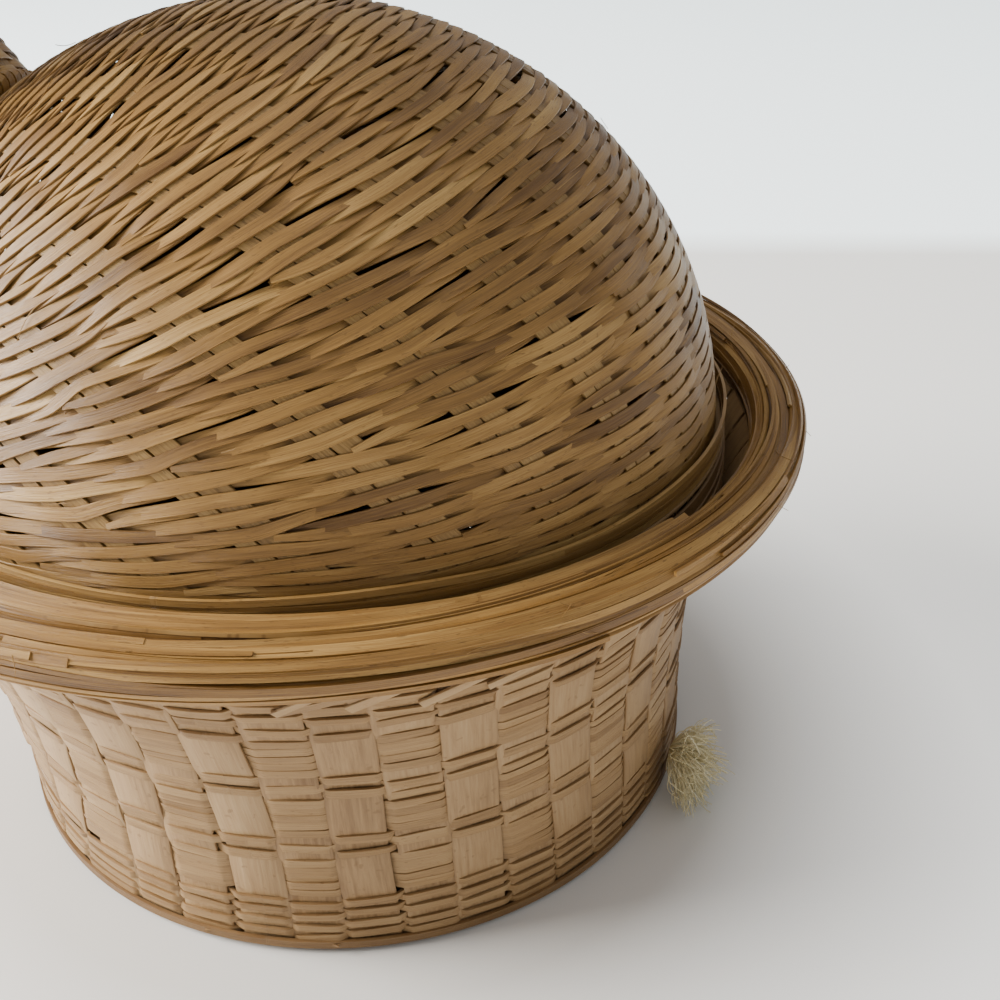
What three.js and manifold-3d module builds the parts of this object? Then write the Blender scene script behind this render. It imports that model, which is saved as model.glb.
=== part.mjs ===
// A lidded basket in the shape of a rabbit, woven from split bamboo.
// Millimetres, +Z up. The rabbit looks along -Y and its tail is at +Y.
// The origin is the middle of the underside of the base.
//
// The basket body is a nest: stakes standing round a base, wefts woven in and out of them, and a wound rim.
// The lid is the rabbit's back, a woven dome, and carries the head. It rests inside the rim and lifts off.

import * as THREE from 'three';
import { mergeVertices } from 'three/addons/utils/BufferGeometryUtils.js';
import Module from 'manifold-3d';

const wasm = await Module();
wasm.setup();

// Clearances
const SEAT_GAP = 0.3; // between two pieces that touch on the real basket
const WOUND_GAP = 0.5; // between neighbouring turns of the rim's strip

// Basket wall
const BASE_RADIUS = 52.5; // middle of the stakes at the foot
const MOUTH_ROOM = 5; // from the dome's outside to the middle of the stakes at their tops
const WALL_HEIGHT = 55; // tops of the stakes
const FLARE_POWER = 3.5; // how late the wall opens towards the mouth
const MOUTH_OVAL = 1.045; // length of the mouth over its width
const MOUTH_FORWARD = 4.8; // how far the mouth's middle lies ahead of the base's
const LEAN_POWER = 1.5; // how late the wall takes the mouth's oval and its shift
const STAKE_COUNT = 46;
const STAKE_WIDTH = 5.6;
const STAKE_THICKNESS = 0.9;
const STAKE_FOOT = 0.6; // height at which the stakes start
const BASE_THICKNESS = 2.2;
const BASE_DISH = 0.8; // how much the base mat is thinner in the middle
const BASE_FLAT = 0.7; // share of the base's radius that the thin middle takes
const BASE_EDGE = 0.86; // share of the base's radius where the thick edge starts

// Wefts of the wall
const WEFT_THICKNESS = 0.9;
const COURSE_GAP = 0.5; // between one course and the next above it
const FOOT_BAND_HEIGHT = 9.6;
const FOOT_BAND_ROWS = 3;
const BROAD_COURSE = 7; // a course of several strips side by side
const NARROW_COURSE = 3;
const COURSE_PAIRS = 3; // each pair is a broad course and a narrow one
const UPRIGHT_PAIRS = 2; // over these the wall is straight
const TOP_BAND_HEIGHT = 5.2;
const TOP_BAND_ROWS = 2;
const ROW_BULGE = 0.6; // how far a row of fine wefts stands out

// Seat and rim
const SEAT_HEIGHT = 57.2; // top of the hoop that carries the lid
const SEAT_SHOULDER = 7; // below the hoop's top it leaves the wall
const SEAT_LEDGE = 2.6; // how far it reaches inside the dome's outside
const SEAT_SKIRT = 1.5; // thickness of the seat hoop's lower part
const RIM_HOOP_HEIGHT = 6;
const RIM_HOOP_THICKNESS = 1.6;
const RIM_STRIP = 2.2; // the wound strip, across
const RIM_TURNS = 2; // in each of the two layers
const RIM_CLIMB = 0.5; // share of a turn in which the strip climbs to the upper layer
const RIM_ROOM = 2.9; // open gap between the lid's hoop and the innermost turn
const WINDING_STEPS = 32; // in one turn
const WINDING_SIDES = 6;

// Lid
const DOME_RADIUS = 57;
const LID_EDGE_RISE = 2.5; // height of the lid's edge above the dome's middle
const DOME_THICKNESS = 1.2;
const DOME_ROWS = 12;
const ROW_STEP = 0.4; // how much deeper the dome is where a row goes under a stake
const LID_STAKE_COUNT = 36; // they part the dome into as many facets
const LID_STAKE_WIDTH = 4.2; // at most; they narrow towards the neck
const LID_STAKE_FILL = 0.66; // share of the space between two stakes' middles that one may take
const LID_STAKE_THICKNESS = 0.8;
const LID_STAKE_STEPS = 4; // along one stake
const LID_STAKE_REACH = 0.95; // share of the way from the lid's edge to the neck that a stake runs
const FAN_DROP = 7.6; // degrees below the neck's axis at which the stakes' planes meet on the dome
const FAN_DIP = 45; // degrees by which the line that they share dips towards the rear
const LID_HOOP_HEIGHT = 3;
const LID_HOOP_THICKNESS = 1.1;

// Neck and head
const NECK_TILT = 30; // degrees above level, from the dome's middle to the head
const NECK_RADIUS = 20;
const NECK_RING = 2.6; // the neck's wrapped ring, along the neck
const NECK_RING_WIDTH = 4.4;
const HEAD_RADIUS = 25;
const MUZZLE_REACH = 4.5; // how far the muzzle stands out of the ball
const MUZZLE_DROP = 14; // degrees below level
const MUZZLE_POINT = 6; // how narrow the muzzle is
const CHEEK_REACH = 1.8;
const CHEEK_SPREAD = 46; // degrees to each side of the muzzle
const CHEEK_DROP = 22; // degrees below level
const CHEEK_POINT = 7; // how narrow a cheek is

// Face
const EYE_RADIUS = 2.7;
const EYE_SPREAD = 42; // degrees to each side of the muzzle
const EYE_RISE = 22; // degrees above level
const NOSE_RADIUS = 2.3;
const BEAD_SINK = 0.3; // share of a bead's radius by which its middle lies below the surface

// Ears
const EAR_LENGTH = 62;
const EAR_HALF_WIDTH = 11.5;
const EAR_ROOT_HALF = 5;
const EAR_THICKNESS = 1.6;
const EAR_EDGE = 2.4; // the strip bound round the ear, across
const EAR_SPREAD = 26; // degrees to each side, where the ears leave the head
const EAR_BACK = 14; // degrees that the ears lean back
const EAR_SPLAY = 12; // degrees that the ears lean apart
const EAR_CUP = 0.03; // hollow of the ear, per millimetre of width squared
const EAR_SINK = 3; // how far the ear's root reaches below the ball before it is cut to it
const EAR_BELLY = 1.35; // pulls the ear's sides out in its lower half
const EAR_TIP = 0.95; // pulls the ear's sides out near its tip
const EAR_BELLY_HEIGHT = 0.3; // share of the ear's length at which the lower pull acts
const EAR_PANEL_POINTS = 10; // along each side of the ear's leaf
const EAR_EDGE_STEPS = 13; // along each side of the ear's edge
const EAR_EDGE_SIDES = 6;

// Tail
const TAIL_RADIUS = 5.2;
const TAIL_LENGTH = 12;
const TAIL_HEIGHT = 5.6;
const TAIL_TURN = 9; // degrees off the rear

const ROUND = STAKE_COUNT; // facets round the hoops, one for each stake
const RAD = Math.PI / 180;
const mouthRadius = DOME_RADIUS + MOUTH_ROOM;
const lidHoopInner = DOME_RADIUS + SEAT_GAP;
const lidHoopOuter = lidHoopInner + LID_HOOP_THICKNESS;

// Materials
function finish(color, roughness, metalness = 0) {
  return new THREE.MeshStandardMaterial({ color, roughness, metalness });
}
const stakeBamboo = () => finish(0xc9a877, 0.6);
const weftBamboo = () => finish(0xa07a48, 0.55);
const rimBamboo = () => finish(0xb98a4a, 0.45);
const domeBamboo = () => finish(0x97713f, 0.55);
const bead = () => finish(0x1c130d, 0.2);
const fibre = () => finish(0xe0d29a, 0.85);

// Courses of the wall, from the foot band up
const courses = [];
const wallBends = [0];
let courseFoot = FOOT_BAND_HEIGHT + COURSE_GAP;
for (let i = 1; i <= COURSE_PAIRS; i += 1) {
  courses.push({ name: `broad_course_${i}`, low: courseFoot, high: courseFoot + BROAD_COURSE, firstSide: 1 });
  courseFoot += BROAD_COURSE + COURSE_GAP;
  courses.push({ name: `narrow_course_${i}`, low: courseFoot, high: courseFoot + NARROW_COURSE, firstSide: -1 });
  courseFoot += NARROW_COURSE + COURSE_GAP;
  if (i >= UPRIGHT_PAIRS) {
    wallBends.push(courseFoot - COURSE_GAP / 2);
  }
}
const topBandFoot = courseFoot;
const topBandTop = topBandFoot + TOP_BAND_HEIGHT;
wallBends.push(topBandTop + SEAT_GAP / 2, WALL_HEIGHT);

// Value of a curve over the wall's height, straight between the bends, so that all its pieces bend together
function overWall(z, curve) {
  const top = wallBends.findIndex((bend) => z < bend);
  if (top < 1) {
    return curve(z <= 0 ? 0 : 1);
  }
  const low = wallBends[top - 1];
  const high = wallBends[top];
  const share = (z - low) / (high - low);
  return curve(low / WALL_HEIGHT) * (1 - share) + curve(high / WALL_HEIGHT) * share;
}

// The mouth is oval and lies a little ahead of the base: every piece takes this lean by its height
function leanShare(z) {
  return overWall(z, (share) => share ** LEAN_POWER);
}

function lean(geometry) {
  const place = geometry.getAttribute('position');
  for (let i = 0; i < place.count; i += 1) {
    const share = leanShare(place.getZ(i));
    place.setY(i, place.getY(i) * (1 + (MOUTH_OVAL - 1) * share) - MOUTH_FORWARD * share);
  }
  place.needsUpdate = true;
  return geometry;
}

// Middle of the wall's stakes at a height
function wallRadius(z) {
  return overWall(z, (share) => BASE_RADIUS + (mouthRadius - BASE_RADIUS) * share ** FLARE_POWER);
}

// Outside of a round piece that lies against the inside of the stakes
function insideStakes(z) {
  return wallRadius(z) - STAKE_THICKNESS / 2 - SEAT_GAP;
}

// Inside of a round piece that lies against the outside of the stakes; its facets face the stakes
function outsideStakes(z) {
  return (wallRadius(z) + STAKE_THICKNESS / 2 + SEAT_GAP) / Math.cos(Math.PI / STAKE_COUNT);
}

// Closed body from a row of sections, each a list of points in the same order
function loft(sections, closed) {
  const sides = sections[0].length;
  const points = sections.flat();
  const index = [];
  const spans = closed ? sections.length : sections.length - 1;
  for (let i = 0; i < spans; i += 1) {
    const here = i * sides;
    const next = ((i + 1) % sections.length) * sides;
    for (let j = 0; j < sides; j += 1) {
      const k = (j + 1) % sides;
      index.push(here + j, here + k, next + k, here + j, next + k, next + j);
    }
  }
  if (!closed) {
    const last = (sections.length - 1) * sides;
    for (let j = 1; j < sides - 1; j += 1) {
      index.push(0, j + 1, j, last, last + j, last + j + 1);
    }
  }
  const geometry = new THREE.BufferGeometry();
  geometry.setAttribute('position', new THREE.Float32BufferAttribute(points.flatMap((p) => [p.x, p.y, p.z]), 3));
  geometry.setIndex(index);
  return outward(geometry);
}

function signedVolume(geometry) {
  const place = geometry.getAttribute('position');
  const index = geometry.getIndex();
  const a = new THREE.Vector3();
  const b = new THREE.Vector3();
  const c = new THREE.Vector3();
  let sum = 0;
  for (let i = 0; i < index.count; i += 3) {
    a.fromBufferAttribute(place, index.getX(i));
    b.fromBufferAttribute(place, index.getX(i + 1));
    c.fromBufferAttribute(place, index.getX(i + 2));
    sum += a.dot(b.cross(c)) / 6;
  }
  return sum;
}

// Turns the faces over where they point inwards
function outward(geometry) {
  if (signedVolume(geometry) < 0) {
    const index = geometry.getIndex();
    for (let i = 0; i < index.count; i += 3) {
      const keep = index.getX(i + 1);
      index.setX(i + 1, index.getX(i + 2));
      index.setX(i + 2, keep);
    }
  }
  return geometry;
}

// Only places and faces, with shared corners merged
function bare(geometry) {
  geometry.deleteAttribute('normal');
  geometry.deleteAttribute('uv');
  return outward(mergeVertices(geometry, 1e-4));
}

// Body turned about Z from points [radius, height]; the profile closes on itself or ends on the axis
function turned(points, facets = ROUND) {
  const profile = points.map(([radius, height]) => new THREE.Vector2(radius, height));
  const geometry = new THREE.LatheGeometry(profile, facets);
  geometry.rotateX(Math.PI / 2);
  return bare(geometry);
}

function toSolid(geometry) {
  const vertProperties = new Float32Array(geometry.getAttribute('position').array);
  const triVerts = new Uint32Array(geometry.getIndex().array);
  return new wasm.Manifold(new wasm.Mesh({ numProp: 3, vertProperties, triVerts }));
}

function fromSolid(solid) {
  const mesh = solid.getMesh();
  const geometry = new THREE.BufferGeometry();
  geometry.setAttribute('position', new THREE.Float32BufferAttribute(mesh.vertProperties, 3));
  geometry.setIndex([...mesh.triVerts]);
  return geometry;
}

const basket = new THREE.Group();
const lid = new THREE.Group();
const group = new THREE.Group();
group.add(basket, lid);

function addPiece(parent, name, geometry, material) {
  geometry.computeVertexNormals();
  const mesh = new THREE.Mesh(geometry, material);
  mesh.name = name;
  parent.add(mesh);
  return mesh;
}

// A band of fine rows outside the stakes, each row standing out as a low bulge
function rowBand(bottom, height, rows) {
  const row = height / rows;
  const inner = outsideStakes;
  const points = [[inner(bottom), bottom]];
  for (let i = 0; i < rows; i += 1) {
    const low = bottom + i * row;
    points.push([inner(low) + WEFT_THICKNESS, low]);
    points.push([inner(low + row / 2) + WEFT_THICKNESS + ROW_BULGE, low + row / 2]);
  }
  points.push([inner(bottom + height) + WEFT_THICKNESS, bottom + height]);
  points.push([inner(bottom + height), bottom + height]);
  points.push([inner(bottom), bottom]);
  return lean(turned(points));
}

addPiece(basket, 'foot_band', rowBand(0, FOOT_BAND_HEIGHT, FOOT_BAND_ROWS), weftBamboo());

// Stakes, bent where the courses meet them
function stake(number) {
  const turn = (number / STAKE_COUNT) * 2 * Math.PI;
  const across = new THREE.Vector3(-Math.sin(turn), Math.cos(turn), 0).multiplyScalar(STAKE_WIDTH / 2);
  const levels = [STAKE_FOOT, ...wallBends.slice(1)];
  const sections = levels.map((z) => [
    [-1, -1],
    [1, -1],
    [1, 1],
    [-1, 1],
  ].map(([side, face]) => {
    const radius = wallRadius(z) + (face * STAKE_THICKNESS) / 2;
    return new THREE.Vector3(radius * Math.cos(turn), radius * Math.sin(turn), z).addScaledVector(across, side);
  }));
  return loft(sections, false);
}

// Base mat, woven from the same splints that turn up at its edge as the stakes
const baseMat = turned([
  [0, 0],
  [BASE_RADIUS, 0],
  [BASE_RADIUS, BASE_THICKNESS],
  [BASE_RADIUS * BASE_EDGE, BASE_THICKNESS],
  [BASE_RADIUS * BASE_FLAT, BASE_THICKNESS - BASE_DISH],
  [0, BASE_THICKNESS - BASE_DISH],
]);
let stakeFrame = toSolid(baseMat);
for (let number = 0; number < STAKE_COUNT; number += 1) {
  stakeFrame = stakeFrame.add(toSolid(stake(number)));
}
addPiece(basket, 'base_and_stakes', lean(fromSolid(stakeFrame)), stakeBamboo());

// A course woven over one stake and under the next, with its height following the wall
function wovenCourse({ low, high, firstSide }) {
  const reach = STAKE_THICKNESS / 2 + SEAT_GAP + WEFT_THICKNESS / 2;
  const sections = [];
  for (let number = 0; number < STAKE_COUNT; number += 1) {
    const side = number % 2 === 0 ? firstSide : -firstSide;
    for (const end of [-1, 1]) {
      const half = Math.atan((STAKE_WIDTH / 2 + SEAT_GAP) / wallRadius(low));
      const turn = (number / STAKE_COUNT) * 2 * Math.PI + end * half;
      const stretch = 1 / Math.cos(half);
      sections.push([
        [low, -1],
        [low, 1],
        [high, 1],
        [high, -1],
      ].map(([z, face]) => {
        const radius = (wallRadius(z) + side * reach + (face * WEFT_THICKNESS) / 2) * stretch;
        return new THREE.Vector3(radius * Math.cos(turn), radius * Math.sin(turn), z);
      }));
    }
  }
  return loft(sections, true);
}
for (const course of courses) {
  addPiece(basket, course.name, lean(wovenCourse(course)), weftBamboo());
}

addPiece(basket, 'top_band', rowBand(topBandFoot, TOP_BAND_HEIGHT, TOP_BAND_ROWS), weftBamboo());

// Hoop inside the mouth that the lid stands on; it starts above the last course and follows the wall to its shoulder
const seatFoot = topBandFoot;
const seatShoulder = SEAT_HEIGHT - SEAT_SHOULDER;
const seatSkirt = insideStakes(seatFoot) - SEAT_SKIRT;
const seatBends = wallBends.filter((bend) => bend > seatFoot && bend < seatShoulder);
const alongWall = [seatFoot, ...seatBends, Math.min(seatShoulder, WALL_HEIGHT)];
const seatHoop = turned([
  [seatSkirt, seatFoot],
  ...alongWall.map((z) => [insideStakes(z), z]),
  [lidHoopOuter, SEAT_HEIGHT - SEAT_SKIRT],
  [lidHoopOuter, SEAT_HEIGHT],
  [DOME_RADIUS - SEAT_LEDGE, SEAT_HEIGHT],
  [seatSkirt, seatShoulder],
  [seatSkirt, seatFoot],
]);
addPiece(basket, 'seat_hoop', lean(seatHoop), stakeBamboo());

// Hoop outside the tops of the stakes
const rimHoopFoot = topBandTop + SEAT_GAP;
const rimHoopTop = rimHoopFoot + RIM_HOOP_HEIGHT;
const rimHoop = turned([
  [outsideStakes(rimHoopFoot), rimHoopFoot],
  [outsideStakes(rimHoopFoot) + RIM_HOOP_THICKNESS, rimHoopFoot],
  [outsideStakes(rimHoopTop) + RIM_HOOP_THICKNESS, rimHoopTop],
  [outsideStakes(rimHoopTop), rimHoopTop],
  [outsideStakes(rimHoopFoot), rimHoopFoot],
]);
addPiece(basket, 'rim_hoop', lean(rimHoop), stakeBamboo());

// The rim: one strip wound round the mouth, out along the lower layer and back along the upper one
const windingPitch = RIM_STRIP + WOUND_GAP;
const windingInner = lidHoopOuter + RIM_ROOM + RIM_STRIP / 2;
const windingFoot = Math.max(rimHoopTop, WALL_HEIGHT) + SEAT_GAP + RIM_STRIP / 2;
function windingPlace(turns) {
  const travelled = Math.min(turns, 2 * RIM_TURNS - turns);
  const rise = THREE.MathUtils.clamp((turns - RIM_TURNS) / RIM_CLIMB + 0.5, 0, 1);
  return {
    radius: windingInner + travelled * windingPitch,
    height: windingFoot + rise * windingPitch,
  };
}
const windingPath = [];
for (let i = 0; i <= 2 * RIM_TURNS * WINDING_STEPS; i += 1) {
  const turns = i / WINDING_STEPS;
  windingPath.push({ turn: turns * 2 * Math.PI, ...windingPlace(turns) });
}
const windingSections = windingPath.map(({ turn, radius, height }) => {
  const ring = [];
  for (let j = 0; j < WINDING_SIDES; j += 1) {
    const angle = ((j + 0.5) / WINDING_SIDES) * 2 * Math.PI;
    const out = radius + (RIM_STRIP / 2) * Math.cos(angle);
    const up = height + (RIM_STRIP / 2) * Math.sin(angle);
    ring.push(new THREE.Vector3(out * Math.cos(turn), out * Math.sin(turn), up));
  }
  return ring;
});
addPiece(basket, 'rim_winding', lean(loft(windingSections, false)), rimBamboo());

// Least gap between turns of the winding, measured on its corners
function leastWindingGap() {
  let least = Infinity;
  for (let i = 0; i < windingSections.length; i += 1) {
    for (let j = i + WINDING_STEPS - 1; j < windingSections.length; j += 1) {
      const apart = (j - i) % WINDING_STEPS;
      if (apart <= 1 || apart >= WINDING_STEPS - 1) {
        for (const a of windingSections[i]) {
          for (const b of windingSections[j]) {
            least = Math.min(least, a.distanceTo(b));
          }
        }
      }
    }
  }
  return least;
}
console.log(`rim winding: least gap between turns ${leastWindingGap().toFixed(2)} mm`);

// The dome's rows lie in planes that all pass through one level line, where the neck's plane meets the lid's edge
const lidEdge = SEAT_HEIGHT + SEAT_GAP;
const neckAngle = (90 - NECK_TILT) * RAD;
const neckAxis = new THREE.Vector3(0, -Math.cos(NECK_TILT * RAD), Math.sin(NECK_TILT * RAD));
const domeCentre = new THREE.Vector3(0, 0, lidEdge - LID_EDGE_RISE);
const neckDistance = Math.sqrt(DOME_RADIUS ** 2 - NECK_RADIUS ** 2);
const rowLine = new THREE.Vector3(0, (neckDistance - LID_EDGE_RISE * neckAxis.z) / neckAxis.y, LID_EDGE_RISE);

// Circle in which the plane at an angle through that line cuts a ball round the dome's middle
function rowCircle(angle, ball) {
  const along = new THREE.Vector3(0, Math.cos(angle), Math.sin(angle));
  const square = new THREE.Vector3(0, -Math.sin(angle), Math.cos(angle));
  const offset = square.dot(rowLine);
  return {
    middle: square.clone().multiplyScalar(offset).add(domeCentre),
    radius: Math.sqrt(ball ** 2 - offset ** 2),
    along,
  };
}

// The dome's stakes fan out in planes that share a line; it runs from below the neck's axis down through the dome
const fanPole = domeCentre.clone().add(new THREE.Vector3(
  0,
  -DOME_RADIUS * Math.cos((NECK_TILT - FAN_DROP) * RAD),
  DOME_RADIUS * Math.sin((NECK_TILT - FAN_DROP) * RAD),
));
const fanForward = new THREE.Vector3(0, -Math.sin(FAN_DIP * RAD), -Math.cos(FAN_DIP * RAD));

// Point on the row at an angle, in the fan's plane at a turn from the rear
function domePoint(angle, turn, ball) {
  const { middle, radius, along } = rowCircle(angle, ball);
  const square = new THREE.Vector3(Math.cos(turn), 0, 0).addScaledVector(fanForward, Math.sin(turn));
  const a = radius * square.x;
  const b = radius * square.dot(along);
  const c = square.dot(middle.clone().sub(fanPole));
  const size = Math.hypot(a, b);
  const base = Math.atan2(a, b);
  const swing = Math.acos(THREE.MathUtils.clamp(-c / size, -1, 1));
  const heading = new THREE.Vector3(Math.sin(turn), 0, 0).addScaledVector(fanForward, -Math.cos(turn));
  const options = [base + swing, base - swing].map((t) => new THREE.Vector3(radius * Math.sin(t), 0, 0)
    .addScaledVector(along, radius * Math.cos(t))
    .add(middle));
  return options.reduce((best, p) => (heading.dot(p) > heading.dot(best) ? p : best));
}

const stakeTurn = (number) => ((number + 0.5) / LID_STAKE_COUNT) * 2 * Math.PI;

// Dome: rows from the lid's edge to the neck, each out over one stake and back under the next
function domeShell() {
  const sections = [];
  for (let i = 0; i < LID_STAKE_COUNT; i += 1) {
    const outer = [];
    const inner = [];
    for (let j = 0; j <= DOME_ROWS; j += 1) {
      const angle = (neckAngle * j) / DOME_ROWS;
      const atEnd = j === 0 || j === DOME_ROWS;
      const step = atEnd || (i + j) % 2 === 0 ? 0 : ROW_STEP;
      outer.push(domePoint(angle, stakeTurn(i), DOME_RADIUS - step));
      inner.push(domePoint(angle, stakeTurn(i), DOME_RADIUS - DOME_THICKNESS));
    }
    sections.push([...outer, ...inner.reverse()]);
  }
  return loft(sections, true);
}
addPiece(lid, 'lid_dome', lean(domeShell()), domeBamboo());

// Ball that what lies against the inside of the dome keeps to, clear of the middles of the dome's facets
function insideDome() {
  const ball = DOME_RADIUS - DOME_THICKNESS;
  const row = neckAngle / DOME_ROWS;
  let widest = 0;
  for (let i = 0; i < LID_STAKE_COUNT; i += 1) {
    for (let j = 0; j < DOME_ROWS; j += 1) {
      const corner = domePoint(j * row, stakeTurn(i), ball);
      widest = Math.max(widest, corner.distanceTo(domePoint((j + 1) * row, stakeTurn(i + 1), ball)));
    }
  }
  return ball - widest ** 2 / (8 * ball) - SEAT_GAP;
}
const lidStakeBall = insideDome();

// Hoops that clamp the dome's edge
const lidHoopTop = lidEdge + LID_HOOP_HEIGHT;
function lidHoop(inner) {
  return turned([
    [inner, lidEdge],
    [inner + LID_HOOP_THICKNESS, lidEdge],
    [inner + LID_HOOP_THICKNESS, lidHoopTop],
    [inner, lidHoopTop],
    [inner, lidEdge],
  ]);
}
addPiece(lid, 'lid_hoop_outer', lean(lidHoop(lidHoopInner)), rimBamboo());

// Angle of the row that passes a height in the fan's plane at a turn
function angleAtHeight(height, turn, ball) {
  let low = 0;
  let high = neckAngle;
  for (let i = 0; i < 30; i += 1) {
    const middle = (low + high) / 2;
    if (domePoint(middle, turn, ball).z < height) {
      low = middle;
    } else {
      high = middle;
    }
  }
  return low;
}

// Stakes inside the dome, held by the inner hoop and running up to the neck
function lidStake(number) {
  const turn = stakeTurn(number);
  const outer = lidStakeBall;
  const start = angleAtHeight(lidEdge + LID_STAKE_WIDTH / 2, turn, outer);
  const sections = [];
  for (let i = 0; i <= LID_STAKE_STEPS; i += 1) {
    const angle = start + (neckAngle * LID_STAKE_REACH - start) * (i / LID_STAKE_STEPS);
    const point = domePoint(angle, turn, outer);
    const ahead = domePoint(angle + 0.01, turn, outer).sub(point).normalize();
    const out = point.clone().sub(domeCentre).normalize();
    const across = out.clone().cross(ahead).normalize();
    const room = domePoint(angle, turn + Math.PI / LID_STAKE_COUNT, outer).distanceTo(point) * 2;
    const half = Math.min(LID_STAKE_WIDTH, room * LID_STAKE_FILL) / 2;
    const sag = (half * half) / (2 * outer);
    sections.push([
      [-1, 0],
      [1, 0],
      [1, 1],
      [-1, 1],
    ].map(([side, depth]) => point.clone()
      .addScaledVector(across, side * half)
      .addScaledVector(out, -depth * LID_STAKE_THICKNESS - sag)));
  }
  return loft(sections, false);
}
const innerHoopOuter = Math.sqrt(lidStakeBall ** 2 - (lidHoopTop - domeCentre.z) ** 2);
let lidFrame = toSolid(lidHoop(innerHoopOuter - LID_HOOP_THICKNESS));
for (let number = 0; number < LID_STAKE_COUNT; number += 1) {
  lidFrame = lidFrame.add(toSolid(lidStake(number)));
}
addPiece(lid, 'lid_hoop_and_stakes', lean(fromSolid(lidFrame)), stakeBamboo());

// Pieces turned about the neck's axis, with heights counted from the dome's middle
function onNeck(geometry) {
  const turnToAxis = new THREE.Quaternion().setFromUnitVectors(new THREE.Vector3(0, 0, 1), neckAxis);
  return geometry.applyQuaternion(turnToAxis).translate(domeCentre.x, domeCentre.y, domeCentre.z);
}

const neckFoot = neckDistance + SEAT_GAP;
const neckRing = turned([
  [NECK_RADIUS - NECK_RING_WIDTH / 2, neckFoot],
  [NECK_RADIUS + NECK_RING_WIDTH / 4, neckFoot],
  [NECK_RADIUS + NECK_RING_WIDTH / 2, neckFoot + NECK_RING / 3],
  [NECK_RADIUS + NECK_RING_WIDTH / 2, neckFoot + (2 * NECK_RING) / 3],
  [NECK_RADIUS + NECK_RING_WIDTH / 4, neckFoot + NECK_RING],
  [NECK_RADIUS - NECK_RING_WIDTH / 2, neckFoot + NECK_RING],
  [NECK_RADIUS - NECK_RING_WIDTH / 2, neckFoot],
], 40);
addPiece(lid, 'neck_ring', lean(onNeck(neckRing)), rimBamboo());

// Direction on the head, in degrees to the side and above level
function faceDirection(side, rise) {
  return new THREE.Vector3(
    Math.sin(side * RAD) * Math.cos(rise * RAD),
    -Math.cos(side * RAD) * Math.cos(rise * RAD),
    Math.sin(rise * RAD),
  );
}

// Head: a ball with a soft muzzle and cheeks, flat where it is bound to the neck
const headBack = neckFoot + NECK_RING + SEAT_GAP;
const headDistance = neckDistance + Math.sqrt(HEAD_RADIUS ** 2 - NECK_RADIUS ** 2);
const headCentre = neckAxis.clone().multiplyScalar(headDistance).add(domeCentre);
const faceWay = faceDirection(0, -MUZZLE_DROP);

// Distance from the head's middle to its surface, along a direction
function headReach(way) {
  const muzzle = MUZZLE_REACH * Math.max(way.dot(faceWay), 0) ** MUZZLE_POINT;
  const cheeks = [-1, 1].map((side) => {
    const cheekWay = faceDirection(side * CHEEK_SPREAD, -CHEEK_DROP);
    return CHEEK_REACH * Math.max(way.dot(cheekWay), 0) ** CHEEK_POINT;
  });
  return HEAD_RADIUS + muzzle + cheeks[0] + cheeks[1];
}

function headForm() {
  const geometry = new THREE.SphereGeometry(1, 26, 17);
  geometry.rotateX(Math.PI / 2);
  const place = geometry.getAttribute('position');
  const way = new THREE.Vector3();
  for (let i = 0; i < place.count; i += 1) {
    way.fromBufferAttribute(place, i).normalize();
    const point = way.clone().multiplyScalar(headReach(way)).add(headCentre);
    place.setXYZ(i, point.x, point.y, point.z);
  }
  const behindNeck = turned([
    [0, 0],
    [2 * HEAD_RADIUS, 0],
    [2 * HEAD_RADIUS, headBack],
    [0, headBack],
  ], 12);
  return toSolid(bare(geometry)).subtract(toSolid(onNeck(behindNeck)));
}

// A bead sits in a socket of the head, with its middle a little below the surface
function beadPlace(way, radius) {
  return way.clone().multiplyScalar(headReach(way) - BEAD_SINK * radius).add(headCentre);
}
function ball(radius, middle) {
  const geometry = bare(new THREE.SphereGeometry(radius, 12, 8));
  return geometry.translate(middle.x, middle.y, middle.z);
}
const beads = [
  { name: 'eye_left', way: faceDirection(EYE_SPREAD, EYE_RISE), radius: EYE_RADIUS },
  { name: 'eye_right', way: faceDirection(-EYE_SPREAD, EYE_RISE), radius: EYE_RADIUS },
  { name: 'nose', way: faceWay, radius: NOSE_RADIUS },
];
let head = headForm();
for (const { way, radius } of beads) {
  head = head.subtract(toSolid(ball(radius + SEAT_GAP, beadPlace(way, radius))));
}
addPiece(lid, 'head', lean(fromSolid(head)), domeBamboo());
for (const { name, way, radius } of beads) {
  addPiece(lid, name, lean(ball(radius, beadPlace(way, radius))), bead());
}

// Ears: a leaf of weave with a strip bound round it, both cut to the head's ball
function earOutline(inset) {
  const half = EAR_HALF_WIDTH - inset;
  const root = EAR_ROOT_HALF - inset;
  const tip = EAR_LENGTH - inset;
  const shape = new THREE.Shape();
  shape.moveTo(-root, -EAR_SINK);
  const belly = EAR_LENGTH * EAR_BELLY_HEIGHT;
  shape.bezierCurveTo(-half * EAR_BELLY, belly, -half * EAR_TIP, tip, 0, tip);
  shape.bezierCurveTo(half * EAR_TIP, tip, half * EAR_BELLY, belly, root, -EAR_SINK);
  return shape;
}

// Hollows the ear towards its front and stands it on the head
function standEar(geometry, side) {
  const place = geometry.getAttribute('position');
  for (let i = 0; i < place.count; i += 1) {
    place.setZ(i, place.getZ(i) + EAR_CUP * place.getX(i) ** 2);
  }
  geometry.rotateX(Math.PI / 2);
  geometry.rotateX(-EAR_BACK * RAD);
  geometry.rotateY(side * EAR_SPLAY * RAD);
  const root = new THREE.Vector3(side * Math.sin(EAR_SPREAD * RAD), 0, Math.cos(EAR_SPREAD * RAD));
  const foot = root.multiplyScalar(HEAD_RADIUS).add(headCentre);
  return geometry.translate(foot.x, foot.y, foot.z);
}

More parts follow.
